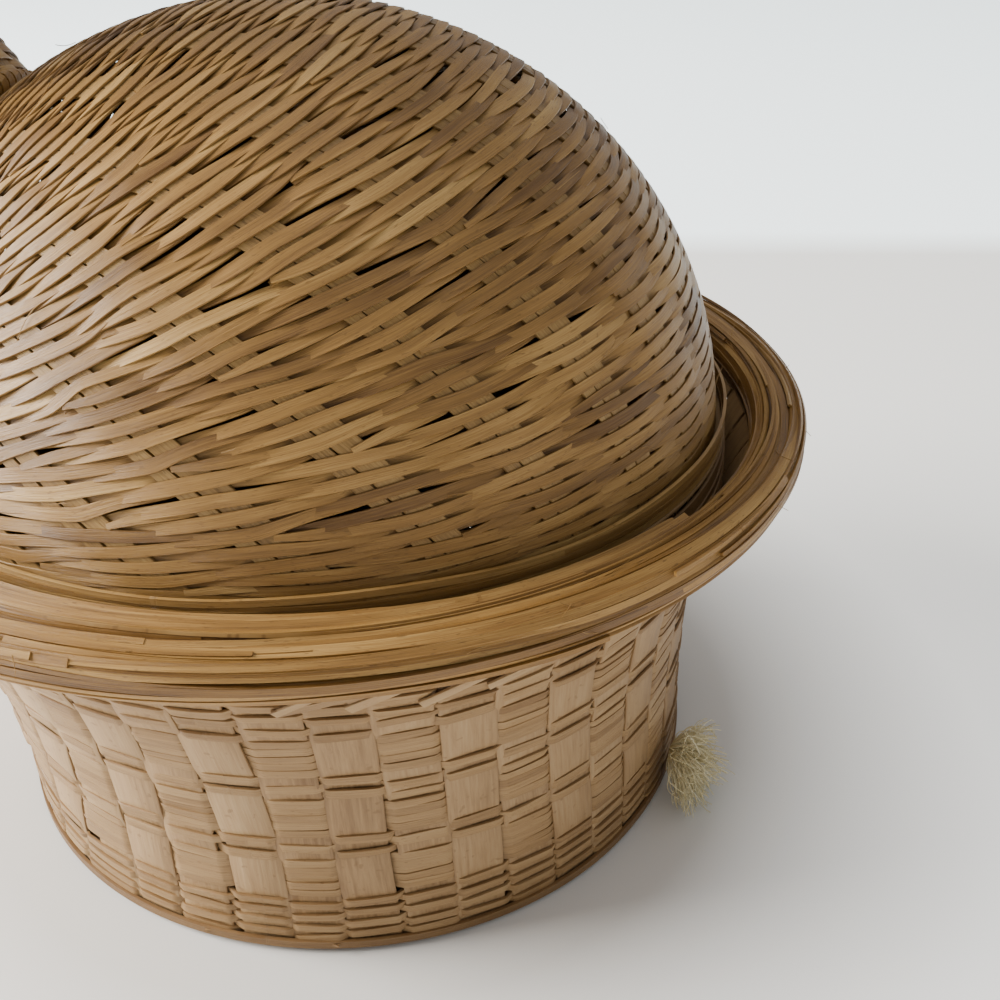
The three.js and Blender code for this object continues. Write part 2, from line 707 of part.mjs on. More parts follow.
function earPanel(side) {
  const shape = earOutline(EAR_EDGE + SEAT_GAP);
  const geometry = new THREE.ExtrudeGeometry(shape, {
    depth: EAR_THICKNESS,
    bevelEnabled: false,
    curveSegments: EAR_PANEL_POINTS,
  });
  geometry.translate(0, 0, -EAR_THICKNESS / 2);
  return bare(standEar(geometry, side));
}

function earEdge(side) {
  const sections = [];
  const middle = earOutline(EAR_EDGE / 2);
  const points = middle.getPoints(EAR_EDGE_STEPS);
  for (let i = 0; i < points.length; i += 1) {
    const before = points[Math.max(i - 1, 0)];
    const after = points[Math.min(i + 1, points.length - 1)];
    const along = after.clone().sub(before).normalize();
    const out = new THREE.Vector2(along.y, -along.x);
    const ring = [];
    for (let j = 0; j < EAR_EDGE_SIDES; j += 1) {
      const angle = ((j + 0.5) / EAR_EDGE_SIDES) * 2 * Math.PI;
      const flat = points[i].clone().addScaledVector(out, (EAR_EDGE / 2) * Math.cos(angle));
      ring.push(new THREE.Vector3(flat.x, flat.y, (EAR_EDGE / 2) * Math.sin(angle)));
    }
    sections.push(ring);
  }
  return standEar(loft(sections, false), side);
}

const earCutter = new THREE.SphereGeometry(HEAD_RADIUS + SEAT_GAP, 28, 20);
earCutter.rotateX(Math.PI / 2);
const headBall = toSolid(bare(earCutter).translate(headCentre.x, headCentre.y, headCentre.z));
for (const [label, side] of [['left', 1], ['right', -1]]) {
  const panel = toSolid(outward(earPanel(side))).subtract(headBall);
  const edge = toSolid(outward(earEdge(side))).subtract(headBall);
  addPiece(lid, `ear_${label}`, lean(fromSolid(panel)), domeBamboo());
  addPiece(lid, `ear_${label}_edge`, lean(fromSolid(edge)), rimBamboo());
}

// Tail: a tuft of fibre at the foot of the wall
function tailTuft() {
  const geometry = new THREE.SphereGeometry(1, 14, 10);
  geometry.scale(TAIL_RADIUS, TAIL_LENGTH / 2, TAIL_RADIUS);
  const wallFace = wallRadius(TAIL_HEIGHT) + STAKE_THICKNESS / 2 + SEAT_GAP + WEFT_THICKNESS + ROW_BULGE;
  geometry.translate(0, wallFace + SEAT_GAP + TAIL_LENGTH / 2, TAIL_HEIGHT);
  geometry.rotateZ(-TAIL_TURN * RAD);
  return bare(geometry);
}
addPiece(basket, 'tail_tuft', lean(tailTuft()), fibre());

export default group;
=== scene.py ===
"""A lidded bamboo basket in the shape of a rabbit: the looks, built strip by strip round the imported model.

Lengths are millimetres until a mesh is made. The floor, the lamps and the camera are in metres. The rabbit
looks along -Y, and its tail is at +Y.
"""

import math

import bpy
import numpy as np
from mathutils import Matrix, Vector


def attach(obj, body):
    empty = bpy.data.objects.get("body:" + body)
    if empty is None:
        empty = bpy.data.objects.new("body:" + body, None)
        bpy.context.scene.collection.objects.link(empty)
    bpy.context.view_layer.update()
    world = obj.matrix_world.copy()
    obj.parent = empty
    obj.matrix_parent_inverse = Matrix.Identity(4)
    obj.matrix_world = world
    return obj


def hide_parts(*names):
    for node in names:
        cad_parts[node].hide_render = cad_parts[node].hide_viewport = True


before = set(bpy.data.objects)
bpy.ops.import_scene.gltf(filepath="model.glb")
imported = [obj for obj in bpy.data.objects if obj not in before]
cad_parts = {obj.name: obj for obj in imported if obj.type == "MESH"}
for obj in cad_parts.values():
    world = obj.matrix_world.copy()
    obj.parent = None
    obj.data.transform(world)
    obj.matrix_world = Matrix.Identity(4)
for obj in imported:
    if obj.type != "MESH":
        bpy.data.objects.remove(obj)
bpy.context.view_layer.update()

MM = 0.001
WHOLE = 2 * math.pi
chance = np.random.default_rng(20)


# Finishes

BLACK = (0.0, 0.0, 0.0)


class Link:
    """One socket in a finish. Arithmetic on it adds Math nodes."""

    def __init__(self, finish, socket):
        self.finish, self.socket = finish, socket

    def math(self, operation, *values):
        return self.finish.node("Math", {"operation": operation}, dict(enumerate(values)))

    def __add__(self, other):
        return self.math("ADD", self, other)

    def __sub__(self, other):
        return self.math("SUBTRACT", self, other)

    def __rsub__(self, other):
        return self.math("SUBTRACT", other, self)

    def __mul__(self, other):
        return self.math("MULTIPLY", self, other)

    def __pow__(self, other):
        return self.math("POWER", self, other)

    def __abs__(self):
        return self.math("ABSOLUTE", self)

    __radd__ = __add__
    __rmul__ = __mul__


class Finish:
    """A material on a Principled shader."""

    def __init__(self, name):
        self.material = bpy.data.materials.new(name)
        self.material.use_nodes = True
        self.tree = self.material.node_tree
        self.shader = self.tree.nodes["Principled BSDF"]

    def node(self, kind, settings=None, inputs=None, output=0):
        """Adds a node, sets it up, joins its sockets and returns one output."""
        node = self.tree.nodes.new("ShaderNode" + kind)
        for name, value in (settings or {}).items():
            if name == "stops":
                while len(node.color_ramp.elements) < len(value):
                    node.color_ramp.elements.new(1.0)
                for stop, (position, color) in zip(node.color_ramp.elements, value):
                    stop.position = position
                    stop.color = (*color, 1.0)
            else:
                setattr(node, name, value)
        for name, value in (inputs or {}).items():
            self.join(value, node.inputs[name])
        return Link(self, node.outputs[output])

    def join(self, value, socket):
        if isinstance(value, Link):
            self.tree.links.new(value.socket, socket)
        else:
            socket.default_value = value

    def set(self, **values):
        """Sets or joins the shader's own sockets, such as Base_Color."""
        for name, value in values.items():
            self.join(value, self.shader.inputs[name.replace("_", " ")])

    def carried(self, name):
        """A value carried by the mesh, such as how far along its strip a point lies."""
        return self.node("Attribute", {"attribute_name": name}, output=2)

    def object_place(self):
        return self.node("TexCoord", output=3)

    def place(self, x, y, z):
        return self.node("CombineXYZ", {}, {0: x, 1: y, 2: z})

    def noise(self, place, scale, detail, roughness=0.5):
        inputs = {"Vector": place, "Scale": scale, "Detail": detail, "Roughness": roughness}
        return self.node("TexNoise", {}, inputs)

    def ramp(self, value, stops):
        return self.node("ValToRGB", {"stops": stops}, {"Fac": value})

    def mask(self, value, low, high, most=1.0):
        """0 up to the low value and the most from the high one."""
        return self.ramp(value, [(low, BLACK), (high, (most, most, most))])

    def blend(self, share, first, second):
        return self.node("Mix", {"data_type": "RGBA"}, {0: share, 6: first, 7: second}, output=2)

    def bump(self, height, distance, strength):
        return self.node("Bump", {}, {"Height": height, "Distance": distance, "Strength": strength})


# How fast the bamboo's noise changes: per metre along a strip, and over half its width
FIBRES_ALONG, FIBRES_ACROSS = 90.0, 4.2
PATCHES_ALONG, PATCHES_ACROSS = 28.0, 0.3
SPECKS_ALONG, SPECKS_ACROSS = 420.0, 1.4
# Scale, detail and roughness of each noise
FIBRE_NOISE, PATCH_NOISE, SPECK_NOISE = (1.6, 4.0, 0.62), (1.3, 2.0, 0.5), (2.2, 1.0, 0.5)
# How far a strip's tone moves each noise, so that no two strips share a pattern
FIBRE_SHIFT_ACROSS, FIBRE_SHIFT, PATCH_SHIFT, SPECK_SHIFT = 40.0, 13.0, 57.0, 91.0
# What makes a spot of a strip light or dark, and the values at which the three colours stand
TONE_SHARE, PATCH_SHARE, FIBRE_SHARE, VALUE_DROP = 0.5, 0.75, 0.95, 0.70
DARK_AT, MIDDLE_AT, LIGHT_AT = 0.02, 0.45, 0.95
EDGE_DARKNESS, EDGE_POWER = 0.3, 14.0
DIP_SHADE = (0.35, 0.30, 0.26)  # what is left of the dark colour in the painted shade where a strip dips
SPECK_FROM, SPECK_FULL, SPECK_DARKNESS = 0.66, 0.74, 0.5
ROUGH_SPREAD = 0.28
SHINE = 0.32
PATCH_RELIEF, RELIEF_HEIGHT, RELIEF_STRENGTH = 0.4, 0.00012, 0.7


def bamboo(name, dark, middle, light, rough, painted_shade=0.55):
    """Split bamboo: fibres along the strip, its own tone on every strip, and painted shade where it dips."""
    finish = Finish(name)
    run = finish.carried("run")
    side = finish.carried("side")
    tone = finish.carried("tone")
    depth = finish.carried("depth")
    across = side * FIBRES_ACROSS + tone * FIBRE_SHIFT_ACROSS
    fibres = finish.noise(finish.place(run * FIBRES_ALONG, across, tone * FIBRE_SHIFT), *FIBRE_NOISE)
    patch_place = finish.place(run * PATCHES_ALONG, tone * PATCH_SHIFT, side * PATCHES_ACROSS)
    patches = finish.noise(patch_place, *PATCH_NOISE)
    speck_place = finish.place(run * SPECKS_ALONG, side * SPECKS_ACROSS, tone * SPECK_SHIFT)
    specks = finish.noise(speck_place, *SPECK_NOISE)
    value = tone * TONE_SHARE + patches * PATCH_SHARE + fibres * FIBRE_SHARE - VALUE_DROP
    color = finish.ramp(value, [(DARK_AT, dark), (MIDDLE_AT, middle), (LIGHT_AT, light)])
    color = finish.blend(abs(side) ** EDGE_POWER * EDGE_DARKNESS, color, (*dark, 1.0))
    # Painted shade: a strip is darkened by its carried depth where it dips under its neighbours or lies
    # beneath other strips
    color = finish.blend(depth * painted_shade, color, (*(d * left for d, left in zip(dark, DIP_SHADE)), 1.0))
    speck = finish.mask(specks, SPECK_FROM, SPECK_FULL, SPECK_DARKNESS)
    color = finish.blend(speck, color, (*dark, 1.0))
    finish.set(Base_Color=color, Roughness=fibres * ROUGH_SPREAD + (rough - ROUGH_SPREAD / 2))
    finish.set(Specular_IOR_Level=SHINE)
    finish.set(Normal=finish.bump(fibres + patches * PATCH_RELIEF, RELIEF_HEIGHT, RELIEF_STRENGTH))
    return finish.material


dome_bamboo = bamboo(
    "dome_bamboo", (0.112, 0.052, 0.012), (0.282, 0.152, 0.040), (0.530, 0.335, 0.116), rough=0.42)
stake_bamboo = bamboo(
    "stake_bamboo", (0.100, 0.050, 0.012), (0.262, 0.150, 0.045), (0.440, 0.285, 0.105), rough=0.45)
wall_bamboo = bamboo(
    "wall_bamboo", (0.165, 0.087, 0.032), (0.305, 0.188, 0.086), (0.415, 0.285, 0.150), rough=0.5, painted_shade=0.45)
weft_bamboo = bamboo(
    "weft_bamboo", (0.148, 0.075, 0.024), (0.290, 0.174, 0.073), (0.415, 0.275, 0.131), rough=0.5, painted_shade=0.5)
rim_bamboo = bamboo(
    "rim_bamboo", (0.074, 0.031, 0.006), (0.265, 0.134, 0.030), (0.520, 0.320, 0.102), rough=0.42)
tail_fibre = bamboo(
    "tail_fibre", (0.620, 0.530, 0.280), (0.800, 0.720, 0.460), (0.900, 0.860, 0.680), rough=0.7, painted_shade=0.3)


# Strips

BEVEL, BEVEL_FOOT = 0.93, 0.2  # where a strip's edges are eased, in half widths and in thicknesses
SECTION = np.array([(-1, -0.5), (1, -0.5), (1, BEVEL_FOOT), (BEVEL, 0.5), (-BEVEL, 0.5), (-1, BEVEL_FOOT)])
SHARP_ANGLE = math.radians(30)
LONGEST_START = 400.0  # each strip's fibres start up to this far along the noise


def unit(v):
    return v / np.maximum(np.linalg.norm(v, axis=-1, keepdims=True), 1e-12)


def smooth(x):
    x = np.clip(x, 0, 1)
    return x * x * (3 - 2 * x)


def wander(count, knots, size, closed=False):
    """Smooth random values along a strip, with that many turns of direction."""
    knots = max(int(knots), 2)
    values = chance.normal(0, size, knots + 1)
    if closed:
        values[-1] = values[0]
    place = np.linspace(0, knots, count)
    low = np.minimum(place.astype(int), knots - 1)
    share = smooth(place - low)
    return values[low] * (1 - share) + values[low + 1] * share


def own_tone(middle, spread, least=0.0):
    """One strip's tone: 0 is the darkest, 1 the lightest."""
    return float(np.clip(chance.normal(middle, spread), least, 1))


def over_under(phase, steepness):
    """+1 at even phases and -1 at odd ones. The steeper, the more abrupt the change."""
    return np.clip(steepness * np.cos(math.pi * phase), -1, 1)


class Strips:
    """Gathers many strips of bamboo into one mesh."""

    def __init__(self):
        self.points, self.faces, self.values, self.count = [], [], [], 0

    def add(self, path, out, width, thickness, tone=None, depth=0.0, closed=False, tilt=0.0):
        """path and out hold points and outward directions. Width, depth and tilt may vary along the strip."""
        path, out = np.asarray(path, float), np.asarray(out, float)
        n, sides = len(path), len(SECTION)
        if closed:
            along = unit(np.roll(path, -1, 0) - np.roll(path, 1, 0))
        else:
            along = unit(np.gradient(path, axis=0))
        across = unit(np.cross(out, along))
        out = unit(np.cross(along, across))
        tilt = np.broadcast_to(tilt, n)[:, None]
        across, out = across * np.cos(tilt) + out * np.sin(tilt), out * np.cos(tilt) - across * np.sin(tilt)
        half = np.broadcast_to(width, n)[:, None, None] / 2
        thick = np.broadcast_to(thickness, n)[:, None, None]
        ring = path[:, None] + across[:, None] * SECTION[None, :, :1] * half
        ring = ring + out[:, None] * SECTION[None, :, 1:] * thick
        step = np.linalg.norm(np.diff(path, axis=0), axis=1)
        run = np.concatenate([[0], np.cumsum(step)]) + chance.uniform(0, LONGEST_START)
        tone = chance.uniform() if tone is None else tone
        values = np.empty((n, sides, 4))
        values[..., 0] = run[:, None] * MM
        values[..., 1] = SECTION[None, :, 0]
        values[..., 2] = tone
        # depth: how much painted shade the finish puts on each point
        values[..., 3] = np.broadcast_to(depth, n)[:, None]
        if not closed:
            # Both ends close to a point in the middle of the section
            first, last = (end.mean(1, keepdims=True).repeat(sides, 1) for end in (ring[:1], ring[-1:]))
            ring = np.concatenate([first, ring, last])
            values = np.concatenate([values[:1], values, values[-1:]])
            n += 2
        rows = np.arange(n if closed else n - 1)[:, None]
        here, ahead = rows * sides, ((rows + 1) % n) * sides
        j = np.arange(sides)[None]
        k = (j + 1) % sides
        quads = np.stack([here + j, here + k, ahead + k, ahead + j], -1).reshape(-1, 4)
        self.points.append(ring.reshape(-1, 3))
        self.values.append(values.reshape(-1, 4))
        self.faces.append(quads + self.count)
        self.count += n * sides

    def piece(self, name, material, body, slot, replaces=()):
        """Makes the mesh, in metres, and hangs it on its body."""
        points, faces, values = map(np.concatenate, (self.points, self.faces, self.values))
        mesh = bpy.data.meshes.new(name)
        mesh.vertices.add(len(points))
        mesh.vertices.foreach_set("co", (points * MM).astype(np.float32).ravel())
        mesh.loops.add(faces.size)
        mesh.loops.foreach_set("vertex_index", faces.astype(np.int32).ravel())
        mesh.polygons.add(len(faces))
        mesh.polygons.foreach_set("loop_start", np.arange(0, faces.size, 4, dtype=np.int32))
        mesh.update(calc_edges=True)
        for i, label in enumerate(("run", "side", "tone", "depth")):
            carried = mesh.attributes.new(label, "FLOAT", "POINT")
            carried.data.foreach_set("value", values[:, i].astype(np.float32))
        mesh.shade_smooth()
        mesh.set_sharp_from_angle(angle=SHARP_ANGLE)
        mesh.materials.append(material)
        piece = bpy.data.objects.new(name, mesh)
        bpy.context.scene.collection.objects.link(piece)
        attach(piece, body)
        if replaces:
            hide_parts(*replaces)


# The wall

STAKES = 46
FOOT_RADIUS = 52.5
FLARE, FLARE_POWER, FLARE_END = 9.5, 3.5, 1.06
WALL_TOP = 55.0
MOUTH_OVAL, MOUTH_AHEAD, LEAN_POWER = 0.045, 4.8, 1.5
STAKE_WIDTH, STAKE_THICKNESS, STAKE_GAP = 7.6, 0.42, 0.14
STAKE_FOOT, STAKE_TOP = 0.9, 54.6
STAKE_DIP = 0.16  # how far the courses press a stake in or out
PRESS = [0.1, 0.2, 0.4, 0.2, 0.1]  # spreads that over the heights near a course's edge
LEAN_MIDDLE = 26.0  # the height at which a leaning stake is in its place
# Foot and top of each course, the strips in one and how far inside its edges the outer strips run
BROAD, BROAD_STRIPS, BROAD_INSET = [(10.4, 16.9), (21.3, 27.9), (32.3, 38.9)], 5, 0.6
NARROW, NARROW_INSET = [(17.4, 20.8), (28.4, 31.8), (39.4, 42.8)], 0.35
COURSE_EDGE = 0.2
BROAD_WIDTH, NARROW_WIDTH, FOOT_WIDTH, TOP_WIDTH = 1.48, 1.5, 1.15, 1.55
BAND_REACH = 0.45  # how far the wefts of the bands at the foot and the top stand out over a stake
FOOT_ROWS = np.arange(2.3, 10.2, 1.0)
TOP_ROWS = np.linspace(43.6, 48.5, 5)
# Height, radius, width and tone of the dark strips round the foot's edge
FOOT_STRIPS = [(0.55, 52.6, 1.0, 0.05), (1.3, 53.25, 1.35, 0.1), (0.9, 52.2, 1.6, 0.2)]
# Height and width of the loose strips right below the rim
TOP_STRIPS = [(49.3, 1.6), (50.5, 1.5), (51.8, 1.7), (53.2, 1.9), (54.3, 1.9)]
# Round the wall in degrees: how far the stakes lean there, per height of the wall
LEANS = [(0, 0.02), (20, -0.04), (60, -0.02), (180, 0.0), (330, 0.26), (345, 0.12), (360, 0.02)]
STAKE_LEANS = np.interp(np.arange(STAKES) * 360 / STAKES, *zip(*LEANS)) + chance.normal(0, 0.03, STAKES)


def wall_radius(z):
    return FOOT_RADIUS + FLARE * np.clip(np.asarray(z, float) / WALL_TOP, 0, FLARE_END) ** FLARE_POWER


def lean(points):
    """The mouth is oval and lies a little ahead of the base."""
    points = np.array(points, float)
    share = np.clip(points[..., 2] / WALL_TOP, 0, 1) ** LEAN_POWER
    points[..., 1] = points[..., 1] * (1 + MOUTH_OVAL * share) - MOUTH_AHEAD * share
    return points


def ring_points(turn, radius, z):
    turn, radius, z = np.broadcast_arrays(turn, radius, z)
    return np.stack([radius * np.cos(turn), radius * np.sin(turn), z], -1)


def ring_out(turn, rise=0.0):
    turn, rise = np.broadcast_arrays(turn, rise)
    return np.stack([np.cos(turn) * np.cos(rise), np.sin(turn) * np.cos(rise), np.sin(rise)], -1)


def wall_rise(z):
    """How far the wall's outward direction dips below level where it flares."""
    z = np.asarray(z)
    return -np.arctan(wall_radius(z + 0.5) - wall_radius(z - 0.5))


def course_side(z):
    """+1 in the courses that go outside the even stakes, -1 in those that go inside them."""
    z = np.asarray(z, float)
    side = np.zeros_like(z)
    for courses, way in ((BROAD, -1.0), (NARROW, 1.0)):
        for low, high in courses:
            side = np.where((z > low - COURSE_EDGE) & (z < high + COURSE_EDGE), way, side)
    return side


def weave_wall():
    strips = Strips()
    levels = np.linspace(STAKE_FOOT, STAKE_TOP, 70)
    for number in range(STAKES):
        side = course_side(levels) * (1 if number % 2 == 0 else -1)
        side = np.convolve(np.pad(side, len(PRESS) // 2, mode="edge"), PRESS, "valid")
        radius = wall_radius(levels) - STAKE_DIP * side
        turns = number / STAKES * WHOLE + STAKE_LEANS[number] * (levels - LEAN_MIDDLE) / WALL_TOP
        turns = turns + wander(len(levels), 3, 0.2) / WALL_TOP
        path = lean(ring_points(turns, radius, levels))
        pitch = WHOLE * wall_radius(levels) / STAKES
        width = np.minimum(STAKE_WIDTH + wander(len(levels), 3, 0.1), pitch - STAKE_GAP)
        strips.add(path, ring_out(turns, wall_rise(levels)), width, STAKE_THICKNESS,
                   depth=np.clip(side, 0, 1) * 0.35, tone=own_tone(0.62, 0.16, 0.2))
    strips.piece("wall_stakes", wall_bamboo, "basket", "stake_bamboo", ["base_and_stakes"])


def weft(strips, z, parity, width, thickness=0.32, reach=0.3, drift=0.1, dip=0.0, tone=None):
    """One strip woven round the wall, outside one stake and inside the next, where it rises by its dip."""
    steps = 920
    turn = np.linspace(0, WHOLE, steps, endpoint=False)
    leans = np.interp(turn / WHOLE * STAKES, np.arange(STAKES + 1), [*STAKE_LEANS, STAKE_LEANS[0]])
    phase = (turn - leans * (z - LEAN_MIDDLE) / WALL_TOP) / WHOLE * STAKES
    wave = over_under(phase, 3.0) * parity
    inside = np.clip(-wave, 0, 1)
    height = z + wander(steps, 30, drift, closed=True) + dip * inside
    radius = wall_radius(height) + reach * wave + wander(steps, 40, 0.05, closed=True)
    path = lean(ring_points(turn, radius, height))
    width = width * (1 + wander(steps, 30, 0.06, closed=True))
    strips.add(path, ring_out(turn, wall_rise(height)), width, thickness, closed=True, depth=inside * 0.8,
               tilt=wander(steps, 40, 0.10, closed=True), tone=tone)


def pale():
    """The wall's strips are much of one tone."""
    return own_tone(0.55, 0.13, 0.1)


def weave_courses():
    strips = Strips()
    for low, high in BROAD:
        middle = (low + high) / 2
        for z in np.linspace(low + BROAD_INSET, high - BROAD_INSET, BROAD_STRIPS):
            weft(strips, z, -1, BROAD_WIDTH, dip=(middle - z) * 0.1, drift=0.12, tone=pale())
    for low, high in NARROW:
        for row, z in enumerate((low + NARROW_INSET, (low + high) / 2, high - NARROW_INSET)):
            parity = -1 if row == 1 else 1
            weft(strips, z, parity, NARROW_WIDTH, reach=0.36, drift=0.26, dip=(1 - row) * 0.3, tone=pale())
    courses = [f"{kind}_course_{number}" for kind in ("broad", "narrow") for number in (1, 2, 3)]
    strips.piece("wall_wefts", weft_bamboo, "basket", "weft_bamboo", courses)


def hoop(strips, radius, z, width, thickness, wobble, rise=0.0, **more):
    """A closed hoop of one strip, standing on the leaned wall."""
    steps = 460
    turn = np.linspace(0, WHOLE, steps, endpoint=False)
    height = z + wander(steps, 16, wobble, closed=True)
    around = radius + wander(steps, 20, wobble * 0.5, closed=True)
    path = lean(ring_points(turn, around, height))
    strips.add(path, ring_out(turn, rise), width, thickness, closed=True, **more)


def weave_bands():
    strips = Strips()
    for row, z in enumerate(FOOT_ROWS):
        parity = 1 if row % 2 else -1
        weft(strips, z, parity, FOOT_WIDTH, thickness=0.4, reach=BAND_REACH, drift=0.2, tone=pale())
    for z, radius, width, tone in FOOT_STRIPS:
        hoop(strips, radius, z, width, 0.5, 0.08, tone=tone, depth=0.12)
    for row, z in enumerate(TOP_ROWS):
        weft(strips, z, 1 if row % 2 else -1, TOP_WIDTH, reach=BAND_REACH, drift=0.28, tone=pale())
    steps = 500
    turn = np.linspace(0, WHOLE, steps, endpoint=False)
    for z, width in TOP_STRIPS:
        height = z + wander(steps, 16, 0.42, closed=True)
        radius = wall_radius(height) + 0.85 + wander(steps, 20, 0.22, closed=True)
        path = lean(ring_points(turn, radius, height))
        strips.add(path, ring_out(turn, wall_rise(height)), width, 0.4, closed=True)
    strips.piece("wall_bands", weft_bamboo, "basket", "weft_bamboo", ["foot_band", "top_band", "rim_hoop"])


def lean_splints():
    """The ends of the stakes, split, laid over sideways below the rim."""
    strips = Strips()
    t = np.linspace(0, 1, 24)
    arch = np.sin(t * math.pi)
    for number in range(STAKES):
        for _ in range(chance.integers(0, 3)):
            turn = (number + 0.2 + chance.uniform(1.6, 3.4) * t) / STAKES * WHOLE
            height = chance.uniform(44.5, 47.5) + chance.uniform(6, 9) * t + 0.8 * arch
            radius = wall_radius(height) + 0.95 + 0.35 * arch
            path = lean(ring_points(turn, radius, height))
            strips.add(path, ring_out(turn, wall_rise(height)), chance.uniform(0.9, 1.7), 0.3)
    strips.piece("stake_ends", wall_bamboo, "basket", "stake_bamboo")


MAT_PITCH = 7.2
MAT_RADIUS = 51.6
MAT_HALF_STRIP = 3.5
MAT_HEIGHT = 1.15
MAT_WAVE = 0.34


def weave_base():
    """A mat of crossing strips on the underside, cut round where the wall's foot holds it."""
    strips = Strips()
    steps = 90
    down = np.tile([0.0, 0.0, -1.0], (steps, 1))
    lines = int(MAT_RADIUS / MAT_PITCH)
    for way in (0, 1):
        for line in range(-lines, lines + 1):
            offset = line * MAT_PITCH
            end = math.sqrt(MAT_RADIUS ** 2 - max(abs(offset) - MAT_HALF_STRIP, 0) ** 2) - 0.05
            t = np.linspace(-end, end, steps)
            edge = np.sqrt(MAT_RADIUS ** 2 - t ** 2)
            low = np.maximum(offset - MAT_HALF_STRIP, -edge)
            high = np.minimum(offset + MAT_HALF_STRIP, edge)
            phase = t / MAT_PITCH + (line + way) % 2
            height = MAT_HEIGHT + (-MAT_WAVE if way else MAT_WAVE) * over_under(phase, 2.4)
            path = np.stack([t, (low + high) / 2, height], -1)
            if way:
                path = path[:, [1, 0, 2]]
            strips.add(path, down, np.maximum(high - low, 0.05), STAKE_THICKNESS)
    strips.piece("base_mat", wall_bamboo, "basket", "stake_bamboo")


# The rim

RIM_RADIUS, RIM_HEIGHT = 65.1, 57.4  # the middle of the bundle's section
RIM_HALF_WIDE, RIM_HALF_TALL, RIM_SQUARENESS = 2.75, 2.25, 0.75
RIM_CORE_STRIPS, RIM_CORE_WIDTH = 12, 2.3
RIM_STRIPS, LOOSE_STRIPS, PRESSED_STRIPS = 34, 26, 9
RIM_STRIP_THICKNESS = 0.42
PRESSED_RADIUS, PRESSED_HEIGHT = (59.2, 2.7), (59.0, 0.9)  # of the first, and how far the last is from it
STEPS_PER_RADIAN = 76


def rim_path(section_angle, layer):
    """Radius and height on the rim's bundle: a rounded band outside the mouth."""
    c, s = np.cos(section_angle), np.sin(section_angle)
    radius = RIM_RADIUS + np.sign(c) * np.abs(c) ** RIM_SQUARENESS * (RIM_HALF_WIDE + layer)
    height = RIM_HEIGHT + np.sign(s) * np.abs(s) ** RIM_SQUARENESS * (RIM_HALF_TALL + layer)
    return radius, height


def rim_strip(strips, angle, layer, start, length, width, slip, **more):
    """One strip of the bundle, lying at an angle of its section and slipping round it by a little."""
    steps = int(length * STEPS_PER_RADIAN)
    turn = start + np.linspace(0, length, steps)
    around = angle + wander(steps, 1.6 * length + 1, 0.12) + slip * np.linspace(-0.5, 0.5, steps)
    lift = layer + np.clip(wander(steps, 2.2 * length + 1, 0.16), -0.3, 0.4)
    radius, height = rim_path(around, lift)
    width = width * (1 + wander(steps, 1.5 * length + 1, 0.08))
    strips.add(lean(ring_points(turn, radius, height)), ring_out(turn, around), width, RIM_STRIP_THICKNESS,
               tilt=wander(steps, 2 * length + 1, 0.2), **more)


def press_strip(strips, number):
    """A strip of the rim that is pressed down between the rim and the lid at the near side."""
    press = number / (PRESSED_STRIPS - 1)
    length = chance.uniform(1.9, 2.5)
    start = chance.uniform(-1.75, -1.45)
    steps = int(length * STEPS_PER_RADIAN)
    turn = start + np.linspace(0, length, steps)
    ends = 1 - np.sin(np.linspace(0, math.pi, steps)) ** 0.4
    first_radius, wider = PRESSED_RADIUS
    first_height, higher = PRESSED_HEIGHT
    radius = first_radius + wider * press + wander(steps, 5, 0.16) + 1.6 * (1 - press) * ends
    height = first_height + higher * press + wander(steps, 5, 0.2) + 0.25 * (number % 2)
    strips.add(lean(ring_points(turn, radius, height)), ring_out(turn, 1.2), chance.uniform(0.8, 1.3), 0.4,
               tone=own_tone(0.55, 0.2))


def wind_rim():
    strips = Strips()
    for angle in np.linspace(0, WHOLE, RIM_CORE_STRIPS, endpoint=False):
        start = chance.uniform(0, WHOLE)
        # The core strips get painted shade, as they lie under the outer strips
        rim_strip(strips, angle, 0.0, start, WHOLE * 1.02, RIM_CORE_WIDTH, 0.1, depth=0.45)
    for angle in np.linspace(0, WHOLE, RIM_STRIPS, endpoint=False):
        start = chance.uniform(0, WHOLE)
        for half in (0, 1):
            place = angle + chance.normal(0, 0.07)
            layer = chance.uniform(0.35, 0.65)
            length = chance.uniform(3.3, 4.0)
            width = chance.uniform(0.6, 1.35)
            slip = chance.uniform(-0.6, 0.6)
            rim_strip(strips, place, layer, start + half * math.pi, length, width, slip,
                      tone=own_tone(0.5, 0.28))
    for _ in range(LOOSE_STRIPS):
        place = chance.uniform(-0.6, 2.6)
        start = chance.uniform(0, WHOLE)
        length = chance.uniform(0.9, 2.6)
        width = chance.uniform(0.4, 1.2)
        slip = chance.uniform(-0.7, 0.7)
        rim_strip(strips, place, 0.85, start, length, width, slip, tone=own_tone(0.6, 0.2))
    for number in range(PRESSED_STRIPS):
        press_strip(strips, number)
    strips.piece("rim_bundle", rim_bamboo, "basket", "rim_bamboo", ["rim_winding"])


RIM_FIBRES, DOME_FIBRES = 90, 80


def stray_fibres():
    """Thin fibres that stand off the rim and the dome."""
    rim, dome = Strips(), Strips()
    for _ in range(RIM_FIBRES):
        turn, angle = chance.uniform(0, WHOLE), chance.uniform(-0.4, 2.6)
        radius, height = rim_path(np.array(angle), 0.6)
        start = lean(ring_points(turn, radius, height))
        along = np.array([-math.sin(turn), math.cos(turn), 0.0]) * chance.choice([-1, 1])
        fibre(rim, start, along, ring_out(turn, angle))
    for _ in range(DOME_FIBRES):
        angle, turn = chance.uniform(0.02, NECK_ANGLE), chance.uniform(0, WHOLE)
        place = dome_place(angle, turn, DOME)
        along = unit(dome_place(angle, turn + 0.02, DOME) - place) * chance.choice([-1, 1])
        fibre(dome, lean(place + DOME_MIDDLE), along, unit(place))
    rim.piece("rim_fibres", rim_bamboo, "basket", "rim_bamboo")
    dome.piece("dome_fibres", dome_bamboo, "lid", "dome_bamboo")


